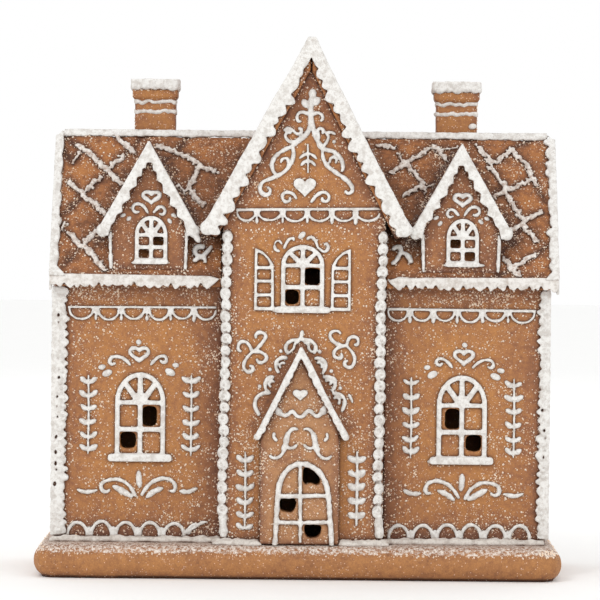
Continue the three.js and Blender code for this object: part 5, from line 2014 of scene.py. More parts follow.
LEFT_LATTICE: tuple[Outline, ...] = (
    [(-122.3, 83.6), (-114.5, 77.8), (-106.6, 68.8), (-95.9, 57.8)],
    [(-125.1, 59.5), (-118.9, 52.4), (-112.2, 46), (-104.4, 37.8)],
    [(-124.8, 26.7), (-118.7, 20.4), (-112.1, 14.1), (-103.2, 2.9)],
    [(-101.4, 91.1), (-96.3, 84.6), (-90.7, 78.7)],
    [(-78.3, 82.8), (-70.1, 80.3), (-61.4, 75.8), (-53.6, 69.4), (-46, 66.9)],
    [(-124, 71.8), (-119.9, 78.4)],
    [(-107.4, 62.3), (-111.1, 59), (-114.6, 53.7)],
    [(-102.3, 69.5), (-99.2, 73.4), (-96, 76.7)],
    [(-108.9, 28.8), (-112.5, 24.3), (-115.5, 19.8)],
    [(-126.2, 33.1), (-127.6, 27.9)],
    [(-55.3, 70), (-57.8, 62.2), (-60.8, 54.4)],
    [(-59.8, 54.4), (-56.4, 49.3), (-52, 44.8)],
    [(-66.3, 57.5), (-61.9, 51.8)],
)
RIGHT_LATTICE: tuple[Outline, ...] = (
    [(95.6, 84.8), (99.3, 79.4), (102, 74.4)],
    [(102, 73.5), (109, 77.8), (113.2, 83.3)],
    [(113.2, 83.3), (117.3, 78.7), (122, 73), (124.6, 65.5), (127.1, 58.9)],
    [(101.3, 71.9), (104, 68.6), (106.6, 63.6), (109.3, 60.3), (109.9, 55.4)],
    [(102.9, 51.6), (109.2, 55.4), (116.2, 58.8), (123.1, 63.4)],
    [(109.9, 54.6), (113.2, 48.1), (116.5, 42.4), (119, 36.6)],
    [(110.1, 30), (114.2, 31.7), (119, 35.9), (124, 40), (129.5, 42.5)],
    [(119, 33.4), (123, 29.4), (125.6, 24.1)],
    [(108.4, 14.2), (111.6, 8.2), (116.2, 1.8)],
    [(111.6, 5.8), (117.1, 9.9), (125.4, 15.6)],
    [(47.4, 67.1), (53, 70.5), (57.9, 74.7), (64.8, 79), (69.7, 83.6)],
    [(54.5, 73.9), (52.9, 79.7)],
    [(57.1, 72.2), (60.6, 67.2), (64.6, 61.5), (66, 54.9)],
    [(55.3, 52.3), (59.1, 54.8), (63.9, 57.4)],
    [(70.4, 84.9), (74.5, 81.6), (78.5, 74.9)],
    [(73.8, 82.4), (84.2, 84.2)],
    [(41.3, 84.1), (46.2, 84.6), (50.3, 83.4)],
    [(66.6, 57.4), (71.5, 60.8)],
)
SEAMS: dict[Side, tuple[Outline, ...]] = {
    Side.LEFT: (
        [(-128, 38), (-114.6, 53.7)],
        [(-107.4, 62.3), (-102.3, 69.5)],
        [(-96, 76.7), (-86, 89)],
        [(-126, 6), (-115.5, 19.8)],
        [(-108.9, 28.8), (-95, 46), (-82, 62), (-70, 77), (-62, 89)],
        [(-95.9, 57.8), (-84, 44)],
        [(-104.4, 37.8), (-92, 24)],
        [(-90.7, 78.7), (-79, 66)],
        [(-130, 90), (-122.3, 83.6)],
        [(-131, 84), (-124, 71.8)],
    ),
    Side.RIGHT: (
        [(124, 90), (113.2, 83.3)],
        [(127.1, 58.9), (131, 50)],
        [(88, 91), (95.6, 84.8)],
        [(109.3, 60.3), (101.3, 52)],
        [(125.4, 15.6), (132, 21)],
        [(111.6, 5.8), (102, 0)],
        [(119, 33.4), (110, 20), (101, 8)],
        [(66, 54.9), (70, 44)],
        [(47.4, 67.1), (42, 62)],
    ),
}
BOWS: dict[Side, tuple[Outline, ...]] = {
    Side.LEFT: (
        [
            (-51.1, 16.7), (-53.8, 17.6), (-56, 16.2), (-56.2, 13.8), (-55.2, 12), (-52.2, 11.3),
            (-49.6, 14.2), (-47.5, 17.2)
        ],
        [(-52.2, 11.3), (-54.4, 10.2), (-57.1, 7.9)],
        [(-51.4, 11.3), (-50.8, 9.4), (-50.5, 7)],
    ),
    Side.RIGHT: (
        [(53.4, 18), (53.5, 16), (53, 14), (50.6, 9.1), (48.2, 7.5)],
        [(53, 14.8), (56.1, 14), (58, 11.4), (58.7, 8.4)],
        [(53.4, 18), (50.4, 18.4), (49.2, 16)],
    ),
}


@dataclass
class MainRoof:
    """One slope of one half of the main roof: swollen tiles between worn lines of icing."""

    side: Side
    back: bool
    tile: float = 21.0
    groove: float = 0.9
    groove_half: float = 2.6
    pillow: float = 0.35
    tuck: Point = (22, 24)

    @property
    def face(self) -> Matrix:
        """The frame of the slope."""
        return PLAN.slope_face(self.back)

    def lattice(self) -> list[Outline]:
        """The worn lines on the slope, in its own frame."""
        if not self.back:
            return list(LEFT_LATTICE if self.side is Side.LEFT else RIGHT_LATTICE)
        draw, lines = random.Random(150 + self.side.value), []
        way = -self.side.value
        low, high = 52, 124
        for lean in (-1, 1):
            for i in range(-4, 9):
                start = low + i * self.tile
                line = [(start + lean * t * 0.86, t) for t in range(4, 84, 10)]
                line = [(way * (x + draw.uniform(-1, 1)), y) for x, y in line if low < x < high]
                if len(line) > 2:
                    lines.append(line)
        return lines

    def seams(self) -> list[Outline]:
        """The worn lines and, in front, the bare grooves between tiles."""
        return self.lattice() + ([] if self.back else list(SEAMS[self.side]))

    def slab(self, seed: int) -> Batch:
        """The slab, cut where it meets the bay's roof."""
        way, gable = self.side.value, PLAN.bay_gable
        eave_y, fascia, tangent = PLAN.eave_y, PLAN.fascia, PLAN.tangent
        drop = PLAN.roof_thick / math.cos(math.atan(tangent))
        soffit = eave_y + (fascia - PLAN.eave + drop) / tangent
        joint = PLAN.ridge_y - GAP / 2
        top = PLAN.eave + (joint - eave_y) * tangent
        section = [
            (eave_y, fascia), (soffit, fascia), (joint, top - drop), (joint, top), (eave_y, PLAN.eave)
        ]
        if self.back:
            section = [(2 * PLAN.ridge_y - y, z) for y, z in reversed(section)]
        end, wall = PLAN.roof_x + way * PLAN.roof_half, PLAN.bay_x + way * (PLAN.bay_half + GAP)
        batch = Batch(LEVEL, seed)
        tip, peak = (gable.left if way < 0 else gable.right), gable.apex
        low, high = sorted((wall - way * self.tuck[0], wall + way * self.tuck[1]))
        batch.flat(section, low=low, high=high, face=SIDEWAYS)
        run, rise = peak[0] - tip[0], peak[1] - tip[1]
        normal = Vector((rise, 0, -run)) if way < 0 else Vector((-rise, 0, run))
        batch.trim((peak[0], 0, peak[1]), normal)
        batch.flat(section, low=min(wall, end), high=max(wall, end), face=SIDEWAYS)
        return batch

    def swell(self, piece: bpy.types.Object) -> None:
        """Presses the grooves between the tiles into the slab's top."""
        places = places_of(piece)
        inverse = np.array(self.face.inverted())
        local = places @ inverse[:3, :3].T + inverse[:3, 3]
        near = np.full(len(places), 99.0)
        for line in self.seams():
            for start, end in zip(line, line[1:]):
                near = np.minimum(near, apart(local[:, :2], start, end))
        depth = self.groove * np.exp(-((near / self.groove_half) ** 2))
        depth -= self.pillow * np.exp(-(((near - 8) / 4) ** 2))
        depth = np.where(local[:, 2] > -2, depth, 0)
        out = np.array(self.face)[:3, 2]
        move_to(piece, places - depth[:, None] * out)

    def build(self, house: House) -> None:
        """Builds the slab and its worn lines."""
        word, where = self.side.word, "back" if self.back else "front"
        seed = 151 + self.side.value + 10 * self.back
        piece = self.slab(seed).skin(f"roof_{where}_{word}", SLAB_MELT)
        self.swell(piece)
        way, face = self.side.value, np.array(self.face.inverted())
        turn = -1 if self.back else 1
        centre, ends = turn * DORMER_X[self.side], turn * (PLAN.roof_x + way * PLAN.roof_half)
        tip = turn * (PLAN.bay_x + way * (PLAN.bay_half + 6))
        peak = turn * (5 + way * 24)
        # Painted shade in the valley beside the bay and at the bay's foot; the slope is also darker along
        # its ends, ridge and eave.
        valley = Rub((turn * (PLAN.bay_x + way * 49), 31), (peak, 91), 1.1, 11)
        falloffs = [
            valley, Rub((tip, 0), (tip, 24), 0.3, 4), Rub((ends, 0), (ends, 91), 0.45, 9),
            Rub((centre - 66, 89), (centre + 66, 89), 0.4, 7),
            Rub((centre - 66, 1), (centre + 66, 1), 0.5, 6)
        ]
        smears = [Rub((turn * (PLAN.bay_x + way * 56), 16), (turn * (5 + way * 33), 86), 0.85, 3.4)]
        if not self.back:
            # Painted shade in the valleys beside the dormer.
            falloffs += [Rub((centre + dx * 27, 24), (centre, 80), 1.0, 9) for dx in (-1, 1)]
            smears += [
                Rub((centre + dx * 27, 30), (centre + dx * 3, 80), 0.8 if dx * way < 0 else 0.5, 2.6)
                for dx in (-1, 1)
            ]
        smears += [falloff for line in self.lattice() for falloff in falloffs_along(line, 1.0, 1.5)]
        # Darker along the worn lines and grooves: painted shade of the pressed grooves, with the darker
        # paint there.
        lines = [falloff for line in self.seams() for falloff in falloffs_along(line, 0.86, 3.6)]

        def on_slope(strength: Field) -> Field:
            """A field over the slope, from one drawn in the slope's own frame."""
            return lambda at: strength(at @ face[:3, :3].T + face[:3, 3])

        tone = on_slope(falloff_field([*falloffs, *lines], (0, 1), 0.16))
        frost = on_slope(
            falloff_field(
                [Rub(r.start, r.end, 0.4 * r.strength, r.reach * 0.7) for r in falloffs + lines], (0, 1), 0.1
            )
        )
        smear = on_slope(falloff_field(smears, (0, 1)))
        house.bake(piece, ROOF_DOUGH, tone, frost, f"roof_{where}_{word}", smear=smear)

        worn = Piping(self.face, seed + 20, 0.65)
        for line in self.lattice():
            worn.strand(line, 1.35 if self.side is Side.LEFT else 1.05, 0.5, ripple=1.9)
            for x, y in flowing(line):
                dx, dy = worn.draw.uniform(-1.5, 1.5), worn.draw.uniform(-1.5, 1.5)
                worn.dot(x + dx, y + dy, worn.draw.uniform(0.5, 1.1), 0.45)
        ice(worn, f"roof_{where}_{word}", ROOF_LINES_MELT, WORN_ICING, f"roof_lines_{where}_{word}")


@dataclass
class RoofIcing:
    """The icing round one half of the main roof: its end, its ridge and its two eaves."""

    side: Side
    width: float = 4.0
    corner: float = 4.0
    blunt: float = 3.4
    reach: float = 1.3
    end_drops: int = 26
    ridge_drops: int = 22
    eave_drops: int = 24
    tuck: float = 158.4
    rim: float = 159.8

    def build(self) -> None:
        """Lays the end and ridge as one piece and each eave as its own."""
        way, word = self.side.value, self.side.word
        end = PLAN.roof_x + way * PLAN.roof_half
        length = PLAN.slope
        batch = Batch(LEVEL, 171 + way)
        for back in (False, True):
            face, turn = PLAN.slope_face(back), (-1 if back else 1)
            x = end * turn
            inward = -way * turn
            swell, lobes = (0.8, 7) if self.side is Side.LEFT else (2.8, 13)
            start = x + inward * (self.width - 1.6 - 0.5 * swell)
            edge = lobed((start, 4.5), (start, length - 1.5), (inward * swell, 0), lobes, batch.draw)
            batch.flat(
                [
                    (x - inward * OUTSIDE, -1.6), (start + inward * 5, -1.6), (start + inward * 1.2, 3.4),
                    *edge, (x + inward * 2, length + 0.4), (x - inward * OUTSIDE, length - self.corner)
                ],
                low=GAP,
                high=OUTSIDE + 0.3,
                face=face,
            )
            for _ in range(self.end_drops):
                y = batch.draw.uniform(4, length - 4)
                batch.drop(
                    x + inward * batch.draw.uniform(-0.6, self.width - 2),
                    y,
                    7,
                    2.8,
                    90 + batch.draw.uniform(-25, 25),
                    OUTSIDE + batch.draw.uniform(0.3, 0.8),
                    face=face,
                )
        for line in BOWS[self.side]:
            batch.strand(line, 1.3, 1.0, face=PLAN.slope_face(False) @ Matrix.Translation((0, 0, 1.5)))
        angle = math.atan(PLAN.tangent)
        top = [(y, PLAN.ridge - abs(y - PLAN.ridge_y) * PLAN.tangent) for y in (-42.8, PLAN.ridge_y, 54.8)]
        blunt = PLAN.ridge - self.blunt
        run = (PLAN.ridge - blunt) / PLAN.tangent
        high = [top[0], (PLAN.ridge_y - run, blunt), (PLAN.ridge_y + run, blunt), top[2]]
        lifts = (1, 0.7, 0.7, 1)
        cheek = [(y, z + lift * OUTSIDE / math.cos(angle)) for (y, z), lift in zip(high, lifts)]
        cheek += [(y, z - PLAN.roof_thick / math.cos(angle)) for y, z in reversed(top)]
        x0, x1 = sorted((end + way * GAP, end + way * OUTSIDE))
        batch.flat(cheek, low=x0, high=x1, face=SIDEWAYS)
        line = PLAN.bay_gable.moved(COAT + 1.2)
        tip = line[0] if way < 0 else line[2]
        inner = line[1][0] + (PLAN.ridge - line[1][1]) * (tip[0] - line[1][0]) / (tip[1] - line[1][1])
        lift = GAP / math.cos(angle)
        ridge = [(y, PLAN.ridge + lift - abs(y) * PLAN.tangent) for y in (-self.reach, 0, self.reach)]
        section = [(PLAN.ridge_y + y, z) for y, z in ridge]
        section += [(PLAN.ridge_y + y * 0.8, z + 1.9) for y, z in reversed(ridge)]
        x0, x1 = sorted((end - way * 2.5, inner))
        batch.flat(section, low=x0, high=x1, face=SIDEWAYS)
        for i in range(self.ridge_drops):
            x = x0 + (x1 - x0) * (i + batch.draw.uniform(0.2, 0.8)) / self.ridge_drops
            for back in (False, True):
                turn = -1 if back else 1
                batch.drop(
                    x * turn,
                    length - batch.draw.uniform(0.5, 1.4),
                    batch.draw.uniform(5, 9),
                    2.4,
                    batch.draw.uniform(-5, 5),
                    1.2,
                    PLAN.slope_face(back),
                )
        ice(batch, f"roof_icing_{word}", BAND_MELT)
        for back in (False, True):
            self.eave(back)

    def eave(self, back: bool) -> None:
        """Lays the strip along one eave, with small notches in its lower edge."""
        way, word, where = self.side.value, self.side.word, "back" if back else "front"
        turn = -1 if back else 1
        face = wall_face(180, 2 * PLAN.ridge_y - PLAN.eave_y) if back else wall_face(0, -PLAN.eave_y)
        inner = PLAN.bay_x + way * (PLAN.bay_half + COAT)
        outer = PLAN.roof_x + way * (PLAN.roof_half + COAT)
        x0, x1 = sorted((inner * turn, outer * turn))
        batch = Batch(face, 181 + way + 5 * back)
        edge = lobed((x0, PLAN.fascia + 1.1), (x1, PLAN.fascia + 1.1), (0, -1.9), 21, batch.draw)
        if inner * turn > outer * turn:
            edge = edge[:-8] + [(x1 - 1, 157.2), (x1, self.tuck)]
            rim = [(x1 - 5, self.rim), (x0, PLAN.eave + 0.6)]
        else:
            edge = [(x0, self.tuck), (x0 + 1, 157.2), *edge[8:]]
            rim = [(x1, PLAN.eave + 0.6), (x0 + 5, self.rim)]
        low = PLAN.fascia + 0.1
        for i in range(1, 14, 1 if way > 0 else 3):
            aside, size = batch.draw.uniform(-0.3, 0.3), batch.draw.uniform(0.9, 1.4)
            x = x0 + (x1 - x0) * (i + 0.5 + aside) / 15
            notch = [(x - size, low), (x - 0.2, low + 1.7 + size), (x + size, low - 0.2)]
            edge = sorted([point for point in edge if abs(point[0] - x) > size + 0.1] + notch)
        batch.flat([*edge, *rim], low=GAP, high=GAP + 1.5)
        for _ in range(self.eave_drops):
            spot = batch.draw.uniform(x0 + 6, x1 - 6)
            batch.drop(
                spot,
                158.6 + batch.draw.uniform(-0.7, 0.5),
                batch.draw.uniform(6, 13),
                2.6,
                batch.draw.uniform(-9, 9),
                2.5,
            )
        ice(batch, f"eave_icing_{where}_{word}", EAVE_MELT, THIN_ICING)


@dataclass
class Chimney:
    """A chimney with two courses of icing and a white cap."""

    side: Side
    half: float = 11.0
    front: float = 9.2
    depth: float = 18.0
    neck: float = 255.6
    courses: Point = (248.2, 253.6)
    top: float = 260.4
    flare: float = 1.4
    cap: float = 5.4
    skirt: int = 5
    lumps: int = 7

    def sides(self, wide: float = 0.0) -> list[tuple[Matrix, float, float]]:
        """The four faces, moved out by a distance: the frame, half width and middle of each."""
        x, y0, y1 = CHIMNEY_X[self.side], self.front, self.front + self.depth
        return [
            (wall_face(0, wide - y0), self.half, x),
            (wall_face(180, y1 + wide), self.half, -x),
            (wall_face(-90, self.half + wide - x), self.depth / 2, -(y0 + y1) / 2),
            (wall_face(90, self.half + wide + x), self.depth / 2, (y0 + y1) / 2),
        ]

    def build(self, house: House) -> None:
        """Builds the stack, its courses and its cap."""
        x, word, seed = CHIMNEY_X[self.side], self.side.word, 191 + self.side.value
        y0, y1 = self.front, self.front + self.depth
        stack = Batch(LEVEL, seed)
        low = PLAN.ridge - (y0 - PLAN.ridge_y) * PLAN.tangent + 0.6
        foot = PLAN.ridge - (y1 - PLAN.ridge_y) * PLAN.tangent + 0.6
        stack.flat(
            [(y0, low), (y1, foot), (y1, self.top), (y0, self.top)],
            low=x - self.half,
            high=x + self.half,
            face=SIDEWAYS,
        )
        stack.flat(
            box(x - self.half - 1.3, y0 - 1.3, x + self.half + 1.3, y1 + 1.3), low=self.neck, high=self.top
        )
        falloffs = [Rub((edge, 220), (edge, 260), 0.6, 4) for edge in (x - self.half, x + self.half)]
        falloffs += [Rub((x - 12, 232), (x + 12, 232), 0.9, 6), Rub((x - 12, 253), (x + 12, 253), 0.6, 2.4)]
        piece = stack.skin(f"chimney_{word}", STACK_MELT)
        house.bake(
            piece,
            WALL_DOUGH,
            falloff_field([Rub(r.start, r.end, r.strength * 0.6, r.reach * 0.6) for r in falloffs]),
            falloff_field(falloffs, ground=0.3),
            f"chimney_{word}",
        )

        courses = Batch(LEVEL, seed + 3, 0.5)
        for height in self.courses:
            for face, half, middle in self.sides():
                line = [
                    (middle - half + 2 * half * t / 6, height + 0.5 * math.sin(2.4 * t + height))
                    for t in range(7)
                ]
                courses.strand(line, 1.35, 0.95, face=face, ripple=0.8)
        if self.side is Side.RIGHT:
            courses.drop(x + 8.6, 241.6, 4.8, 3.6, 12, 1.3, face=wall_face(0, -y0))
        ice(courses, f"chimney_{word}", PIPING_MELT, THIN_ICING, name=f"chimney_courses_{word}")

        cap = Batch(LEVEL, seed + 6)
        wide = self.flare + 0.9
        cap.flat(
            soft_box(x - self.half - wide, y0 - wide, x + self.half + wide, y1 + wide, 2),
            low=self.top + GAP,
            high=self.top + self.cap,
        )
        for face, width, middle in self.sides(wide):
            half = width + 1
            for i in range(self.skirt):
                spot = middle - half + 2 * half * (i + 0.5) / self.skirt
                cap.drop(
                    spot,
                    self.top + 1.2 + cap.draw.uniform(-0.7, 0.5),
                    half * 0.5,
                    4.4,
                    0,
                    0.4,
                    face=face,
                    sunk=1.2,
                )
        for _ in range(self.lumps):
            cap.drop(
                x + cap.draw.uniform(-8, 8),
                (y0 + y1) / 2 + cap.draw.uniform(-6, 6),
                9,
                7,
                cap.draw.uniform(0, 90),
                self.top + 6.0,
                sunk=-self.top - 4,
            )
        ice(cap, f"chimney_icing_{word}", CAP_MELT)


@dataclass
class BeadChain:
    """A chain of spiral beads down a corner of the bay, ending in a long drip."""

    side: Side
    x: float = 41.3
    step: float = 6.04
    count: int = 25
    bottom: float = 33.0
    drip: float = 21.2
    lean: Point = (0.6, -0.8)

    def build(self) -> None:
        """Pipes the chain."""
        x, way = PLAN.bay_x + self.side.value * self.x, -self.side.value
        batch = Piping(FRONT_BAY, 211 + self.side.value, 2.3)
        for i in range(self.count):
            y = self.bottom + self.step * (i + 0.5)
            lean = self.lean[0] + (self.lean[1] - self.lean[0]) * (1 - i / (self.count - 1))
            spot, size = x + lean + batch.draw.uniform(-0.4, 0.4), batch.draw.uniform(0.9, 1.12)
            batch.drop(spot, y, 5.4 * size, 7.2, 0, 1.8)
            turn = batch.draw.uniform(-0.7, 0.7)
            spiral = [
                ((2.55 - 2.1 * t / 11) * size, turn + 1.5 * math.pi + way * math.pi * t / 3.4)
                for t in range(12)
            ]
            batch.strand(
                [(spot + r * math.cos(a), y + 1.12 * r * math.sin(a)) for r, a in spiral], 0.75, 1.05
            )
        batch.strand(
            [(x, self.bottom + 1.5), (x - 0.3, 29.6), (x, 26), (x + 0.2, self.drip)], 2.3, 0.5, fullness=1.6
        )
        word = self.side.word
        ice(batch, f"bead_chain_{word}", BEAD_MELT)


@dataclass
class CornerIcing:
    """The lobed icing up an outer corner of the wings, on both of its faces."""

    side: Side
    back: bool
    low: float = 20.6
    high: float = 153.6
    width: float = 7.4
    lobes: int = 28
    pits: int = 20
    drops: int = 46

    def build(self) -> None:
        """Lays the strip."""
        way, word = self.side.value, f"{'back' if self.back else 'front'}_{self.side.word}"
        x = PLAN.wing_x + way * PLAN.wing_half
        batch = Batch(LEVEL, 221 + way + 5 * self.back)
        if self.back:
            faces = (
                (BACK_WING, -x, way), (SIDE_FACE[self.side], way * PLAN.wing_back, -1 if way > 0 else 1)
            )
        else:
            faces = (
                (FRONT_WING, x, -way), (SIDE_FACE[self.side], way * PLAN.wing_front, 1 if way > 0 else -1)
            )
        for face, edge, inward in faces:
            slim = 2.0 if way > 0 and face is FRONT_WING else 0.0
            start = edge + inward * (self.width - 3.0 - slim)
            line = lobed((start, self.low), (start, self.high), (inward * 2.6, 0), self.lobes, batch.draw)
            pits = []
            for i in range(1, self.pits):
                x = edge + inward * batch.draw.uniform(0.2, 2.4)
                aside = batch.draw.uniform(-0.25, 0.25)
                y = self.low + 24 + (self.high - self.low - 34) * (i + aside) / self.pits
                size = batch.draw.uniform(0.9, 1.6)
                if batch.draw.random() < 0.75:
                    pit = [
                        (x - 0.5 * size, y - size), (x + 0.6 * size, y - 0.5 * size),
                        (x + 0.5 * size, y + 0.6 * size), (x - 0.2, y + 1.2 * size)
                    ]
                    pits.append(ragged(pit, batch.draw))
            batch.flat(
                [(edge - inward * OUTSIDE, self.low), *line, (edge - inward * OUTSIDE, self.high)],
                pits,
                low=GAP,
                high=OUTSIDE,
                face=face,
            )
            for i in range(self.drops):
                y = self.low + 3 + (self.high - self.low - 6) * i / (self.drops - 1)
                spot = edge + inward * (batch.draw.uniform(2.6, 5.0) - slim)
                batch.drop(
                    spot,
                    y,
                    batch.draw.uniform(3, 4.6),
                    batch.draw.uniform(2.4, 3.6),
                    batch.draw.uniform(-30, 30),
                    OUTSIDE + batch.draw.uniform(0.3, 1.2),
                    face=face,
                )
        ice(batch, f"corner_icing_{word}", CORNER_MELT)


@dataclass
class Snow:
    """Icing lying on the board along the foot of the walls, domed and waved at its outer edge."""

    reach: float = 8.0
    low: float = 18.0
    high: float = 20.4
    lumps: int = 34

    def strip(self, batch: Batch, points: Outline, way: int, lobes: int) -> None:
        """Lays a strip whose outer edge runs through points and whose inner edge is under the wall."""
        outer: Outline = []
        for start, end in zip(points, points[1:]):
            outer += lobed(
                start, end, (0, way * 1.7), max(1, round(lobes * abs(end[0] - start[0]) / 100)), batch.draw
            )
        inner = [(x, y - way * (self.reach + 1)) for x, y in reversed(points)]
        batch.flat([*outer, *inner], low=self.low, high=self.high)

    def lump(
        self, batch: Batch, x: float, y: float, length: float, width: float, turn: float, rise: float
    ) -> None:
        """Sets a low lump on a strip."""
        batch.drop(x, y, length, width, turn, self.high + rise, sunk=-self.low)

    def build(self) -> None:
        """Lays the strips of the front and the back."""
        for side in Side:
            way = side.value
            batch = Batch(LEVEL, 231 + way)
            corner, bay = PLAN.wing_x + way * 130.4, PLAN.bay_x + way * 45
            porch = 0.7 + way * 21.4
            self.strip(batch, [(corner, -42.6), (bay, -42.2)], -1, 9)
            batch.flat(
                [
                    (bay + way * 2.6, -37), (bay + way * 2.6, -47), (bay, -51.6), (porch, -52.6),
                    (porch, -46), (bay - way * 4, -40)
                ],
                low=self.low,
                high=self.high,
            )
            for t, length, turn in ((0.22, 15, -6), (0.5, 16, 5), (0.8, 14, -10)):
                x, y = between((bay, -51.4), (porch, -53.4), t)
                self.lump(batch, x, y, length, 6.6, turn, 0.5)
            for _ in range(self.lumps):
                x, rise = batch.draw.uniform(*sorted((corner, bay))), batch.draw.uniform(0.2, 1.5)
                y = -40.4 + batch.draw.uniform(-1.2, 1)
                self.lump(batch, x, y, batch.draw.uniform(5, 13), 5.4, batch.draw.uniform(-14, 14), rise)
            for t in (0.05, 0.2, 0.34, 0.48, 0.62, 0.78, 0.9):
                x, y = between((bay, -49.8), (porch, -51), t + batch.draw.uniform(-0.05, 0.05))
                size, turn = batch.draw.uniform(4, 8), batch.draw.uniform(-20, 20)
                self.lump(batch, x, y, size, 4.6, turn, batch.draw.uniform(0.4, 1.4))
            ice(batch, f"snow_front_{side.word}", SNOW_MELT, FLOOR_ICING)
        batch = Batch(LEVEL, 235)
        for x0, x1, y in ((-129.6, -42, 55), (45.6, 131.2, 55), (-47, 50.6, 58.6)):
            self.strip(batch, [(x0, y), (x1, y)], 1, 9)
        for _ in range(self.lumps):
            x = batch.draw.uniform(-126, 128)
            y = 56.4 if -43 < x < 47 else 52
            self.lump(batch, x, y, 13, 5.6, batch.draw.uniform(-12, 12), 0.4)
        ice(batch, "snow_back", SNOW_MELT, FLOOR_ICING)


# ---------------------------------------------------------------- sugar
@dataclass
class Sugar:
    """Grains of sugar caught on the dough, thickest where it is painted as frosted."""

    front: int = 32000
    rest: int = 17000
    bare: float = 0.075
    clumps: float = 1.9
    size: tuple[float, float] = (0.17, 0.76)

    def build(self, house: House) -> None:
        """Scatters the grains over the outward faces of the dough."""
        rng = np.random.default_rng(7)
        hub = np.array((PLAN.bay_x, PLAN.ridge_y, 90.0)) * MM
        spots, ways, weights = [], [], []
        for piece in house.dough:
            spot, way, area, frost = self.faces_of(piece.data)
            outward = ((spot - hub) * way).sum(axis=1) > 0.012
            seen = outward & (way[:, 2] > -0.3) & (spot[:, 2] > 13 * MM)
            cluster = np.array([noise.noise(Vector(place * 90)) for place in spot])
            spots.append(spot)
            ways.append(way)
            weights.append(area * seen * (self.bare + frost**1.3) * np.exp(self.clumps * cluster))
        spot, way, weight = np.concatenate(spots), np.concatenate(ways), np.concatenate(weights)
        ahead = (way[:, 1] < -0.3) & (spot[:, 1] < 8 * MM)
        shares = ((self.front, weight * ahead), (self.rest, weight * ~ahead))
        chosen = np.concatenate(
            [rng.choice(len(share), count, p=share / share.sum()) for count, share in shares]
        )
        self.scatter("sugar", spot[chosen], way[chosen], rng)

    @staticmethod
    def faces_of(mesh: bpy.types.Mesh) -> tuple[np.ndarray, np.ndarray, np.ndarray, np.ndarray]:
        """The middles, directions, areas and frosting of a mesh's faces."""
        count = len(mesh.polygons)
        spot, way, area, first = np.empty(count * 3), np.empty(count * 3), np.empty(count), np.empty(
            count, np.int32
        )
        mesh.polygons.foreach_get("center", spot)
        mesh.polygons.foreach_get("normal", way)
        mesh.polygons.foreach_get("area", area)
        mesh.polygons.foreach_get("loop_start", first)
        corners = np.empty(len(mesh.loops), np.int32)
        mesh.loops.foreach_get("vertex_index", corners)
        frost = np.empty(len(mesh.vertices), np.float32)
        mesh.attributes["frost"].data.foreach_get("value", frost)
        return spot.reshape(-1, 3), way.reshape(-1, 3), area, frost[corners[first]]

    def scatter(self, name: str, spot: np.ndarray, way: np.ndarray, rng: np.random.Generator) -> None:
        """Sets a grain on each of the faces drawn, as one piece.

        Args:
            name: The piece's name.
            spot: The middles of the faces drawn.
            way: Their directions.
            rng: Where the draws come from.
        """
        count = len(spot)
        jitter = rng.uniform(-0.5, 0.5, (count, 3)) * MM
        size = (self.size[0] + (self.size[1] - self.size[0]) * rng.uniform(0, 1, count) ** 3.8) * MM
        solid = bmesh.new()
        bmesh.ops.create_cone(solid, cap_ends=False, segments=4, radius1=1.0, radius2=0.0, depth=1.0)
        bmesh.ops.translate(solid, verts=solid.verts, vec=(0, 0, 0.4))
        grain = bpy.data.meshes.new("grain")
        solid.to_mesh(grain)
        solid.free()
        template = np.array([corner.co[:] for corner in grain.vertices])
        faces = np.array([face.vertices[:] for face in grain.polygons])
        turned = self.turns(way, rng)
        points = np.einsum("gij,vj->gvi", turned, template) * size[:, None, None]
        flat = way * ((jitter * way).sum(axis=1))[:, None]
        points += (spot + jitter - flat)[:, None, :]
        low, high = (np.array(corner) for corner in cad_box)
        points = np.clip(points, low, high)
        everything = (
            faces[None]
            + len(template)
            * np.arange(count)[:, None, None]
        ).reshape(-1, faces.shape[1])
        mesh = bpy.data.meshes.new(name)
        mesh.from_pydata(points.reshape(-1, 3).tolist(), [], everything.tolist())
        tint = mesh.attributes.new("tint", "FLOAT", "POINT")
        tint.data.foreach_set(
            "value", np.repeat(rng.uniform(0, 0.9, count), len(template)).astype(np.float32)
        )
        grains = bpy.data.objects.new(name, mesh)
        bpy.context.scene.collection.objects.link(grains)
        serve(grains, SugarFinish())

    @staticmethod
    def turns(way: np.ndarray, rng: np.random.Generator) -> np.ndarray:
        """Frames whose third axis is each normal, turned at random about it."""
        helper = rng.normal(size=way.shape)
        first = np.cross(way, helper)
        first /= np.linalg.norm(first, axis=1, keepdims=True)
        return np.stack([first, np.cross(way, first), way], axis=2)


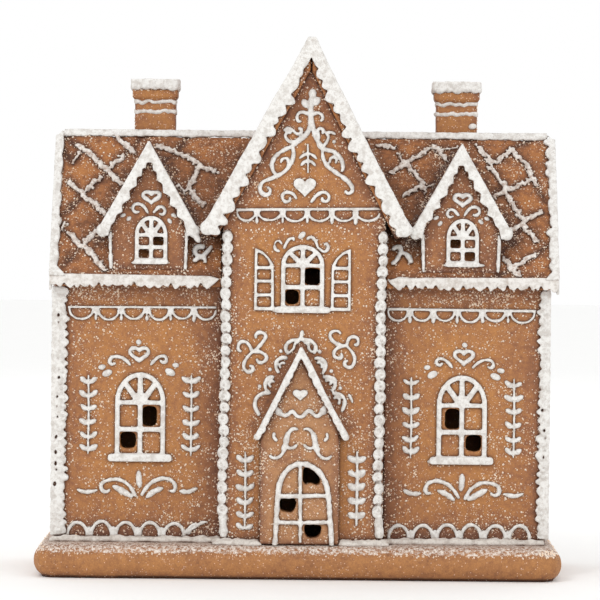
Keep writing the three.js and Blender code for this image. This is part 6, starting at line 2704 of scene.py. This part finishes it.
# ---------------------------------------------------------------- studio
@dataclass
class Studio:
    """A plain pale floor, soft light from all round and the camera."""

    distance: float = 2.0
    eye: float = 0.195
    aim: tuple[float, float, float] = (0, -0.06, 0.1479)
    seen: float = 0.3158
    roll: float = 0.55

    def build(self) -> None:
        """Makes the floor, the lights, the world and the camera."""
        scene = bpy.context.scene
        scene.view_settings.view_transform = "Standard"
        solid = bmesh.new()
        bmesh.ops.create_grid(solid, x_segments=2, y_segments=2, size=6)
        mesh = bpy.data.meshes.new("floor")
        solid.to_mesh(mesh)
        solid.free()
        floor = bpy.data.objects.new("floor", mesh)
        scene.collection.objects.link(floor)
        recipe = Recipe("floor_paper")
        paper = recipe.blend(recipe.mottle(40), srgb(252, 252, 251), srgb(249, 249, 248))
        mesh.materials.append(recipe.finish(paper, 0.85, 0.2))
        self.lamp("key", (-0.9, -1.5, 1.7), 0.7, 8.5)
        self.lamp("front", (0.1, -2.3, 0.6), 0.8, 4)
        self.lamp("fill", (1.5, -1.3, 0.8), 1.5, 1)
        self.lamp("back", (0.2, 1.6, 1.4), 1.6, 3)
        world = bpy.data.worlds.new("soft")
        world.use_nodes = True
        world.node_tree.nodes["Background"].inputs["Color"].default_value = (1, 1, 1, 1)
        world.node_tree.nodes["Background"].inputs["Strength"].default_value = 1.0
        scene.world = world
        self.camera()

    def lamp(self, name: str, place: tuple[float, float, float], size: float, power: float) -> None:
        """Hangs a soft lamp that points at the house."""
        light = bpy.data.lights.new(name, "AREA")
        light.shape, light.size, light.energy = "DISK", size, power
        holder = bpy.data.objects.new(name, light)
        bpy.context.scene.collection.objects.link(holder)
        holder.location = place
        holder.rotation_euler = (Vector((0, 0, 0.12)) - Vector(place)).to_track_quat("-Z", "Y").to_euler()

    def camera(self) -> None:
        """Sets the camera straight in front, a little above the middle."""
        lens = bpy.data.cameras.new("camera")
        lens.angle = 2 * math.atan(self.seen / 2 / self.distance)
        holder = bpy.data.objects.new("camera", lens)
        bpy.context.scene.collection.objects.link(holder)
        x, y, _ = self.aim
        place = Vector((x, y - self.distance, self.eye))
        looks = (Vector(self.aim) - place).to_track_quat("-Z", "Y").to_matrix().to_4x4()
        holder.matrix_world = Matrix.Translation(place) @ looks @ Matrix.Rotation(
            math.radians(self.roll), 4, "Z"
        )
        bpy.context.scene.camera = holder


def main() -> None:
    """Builds the house piece by piece."""
    logging.basicConfig(level=logging.INFO, format="%(message)s")
    noise.seed_set(WANDER_SEED)
    house = House()
    Board().build(house)
    for side in Side:
        for part in (
            WingFront(side), WingBack(side), SideWall(side), BayFlank(side), Dormer(side), Chimney(side)
        ):
            part.build(house)
        for back in (False, True):
            MainRoof(side, back).build(house)
            CornerIcing(side, back).build()
        RoofIcing(side).build()
        BeadChain(side).build()
    BayFront().build(house)
    BayBack().build(house)
    for back in (False, True):
        GableIcing(back).build()
    Porch().build(house)
    Door().build()
    Snow().build()
    Sugar().build(house)
    Studio().build()
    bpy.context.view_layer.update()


if __name__ == "__main__":
    main()
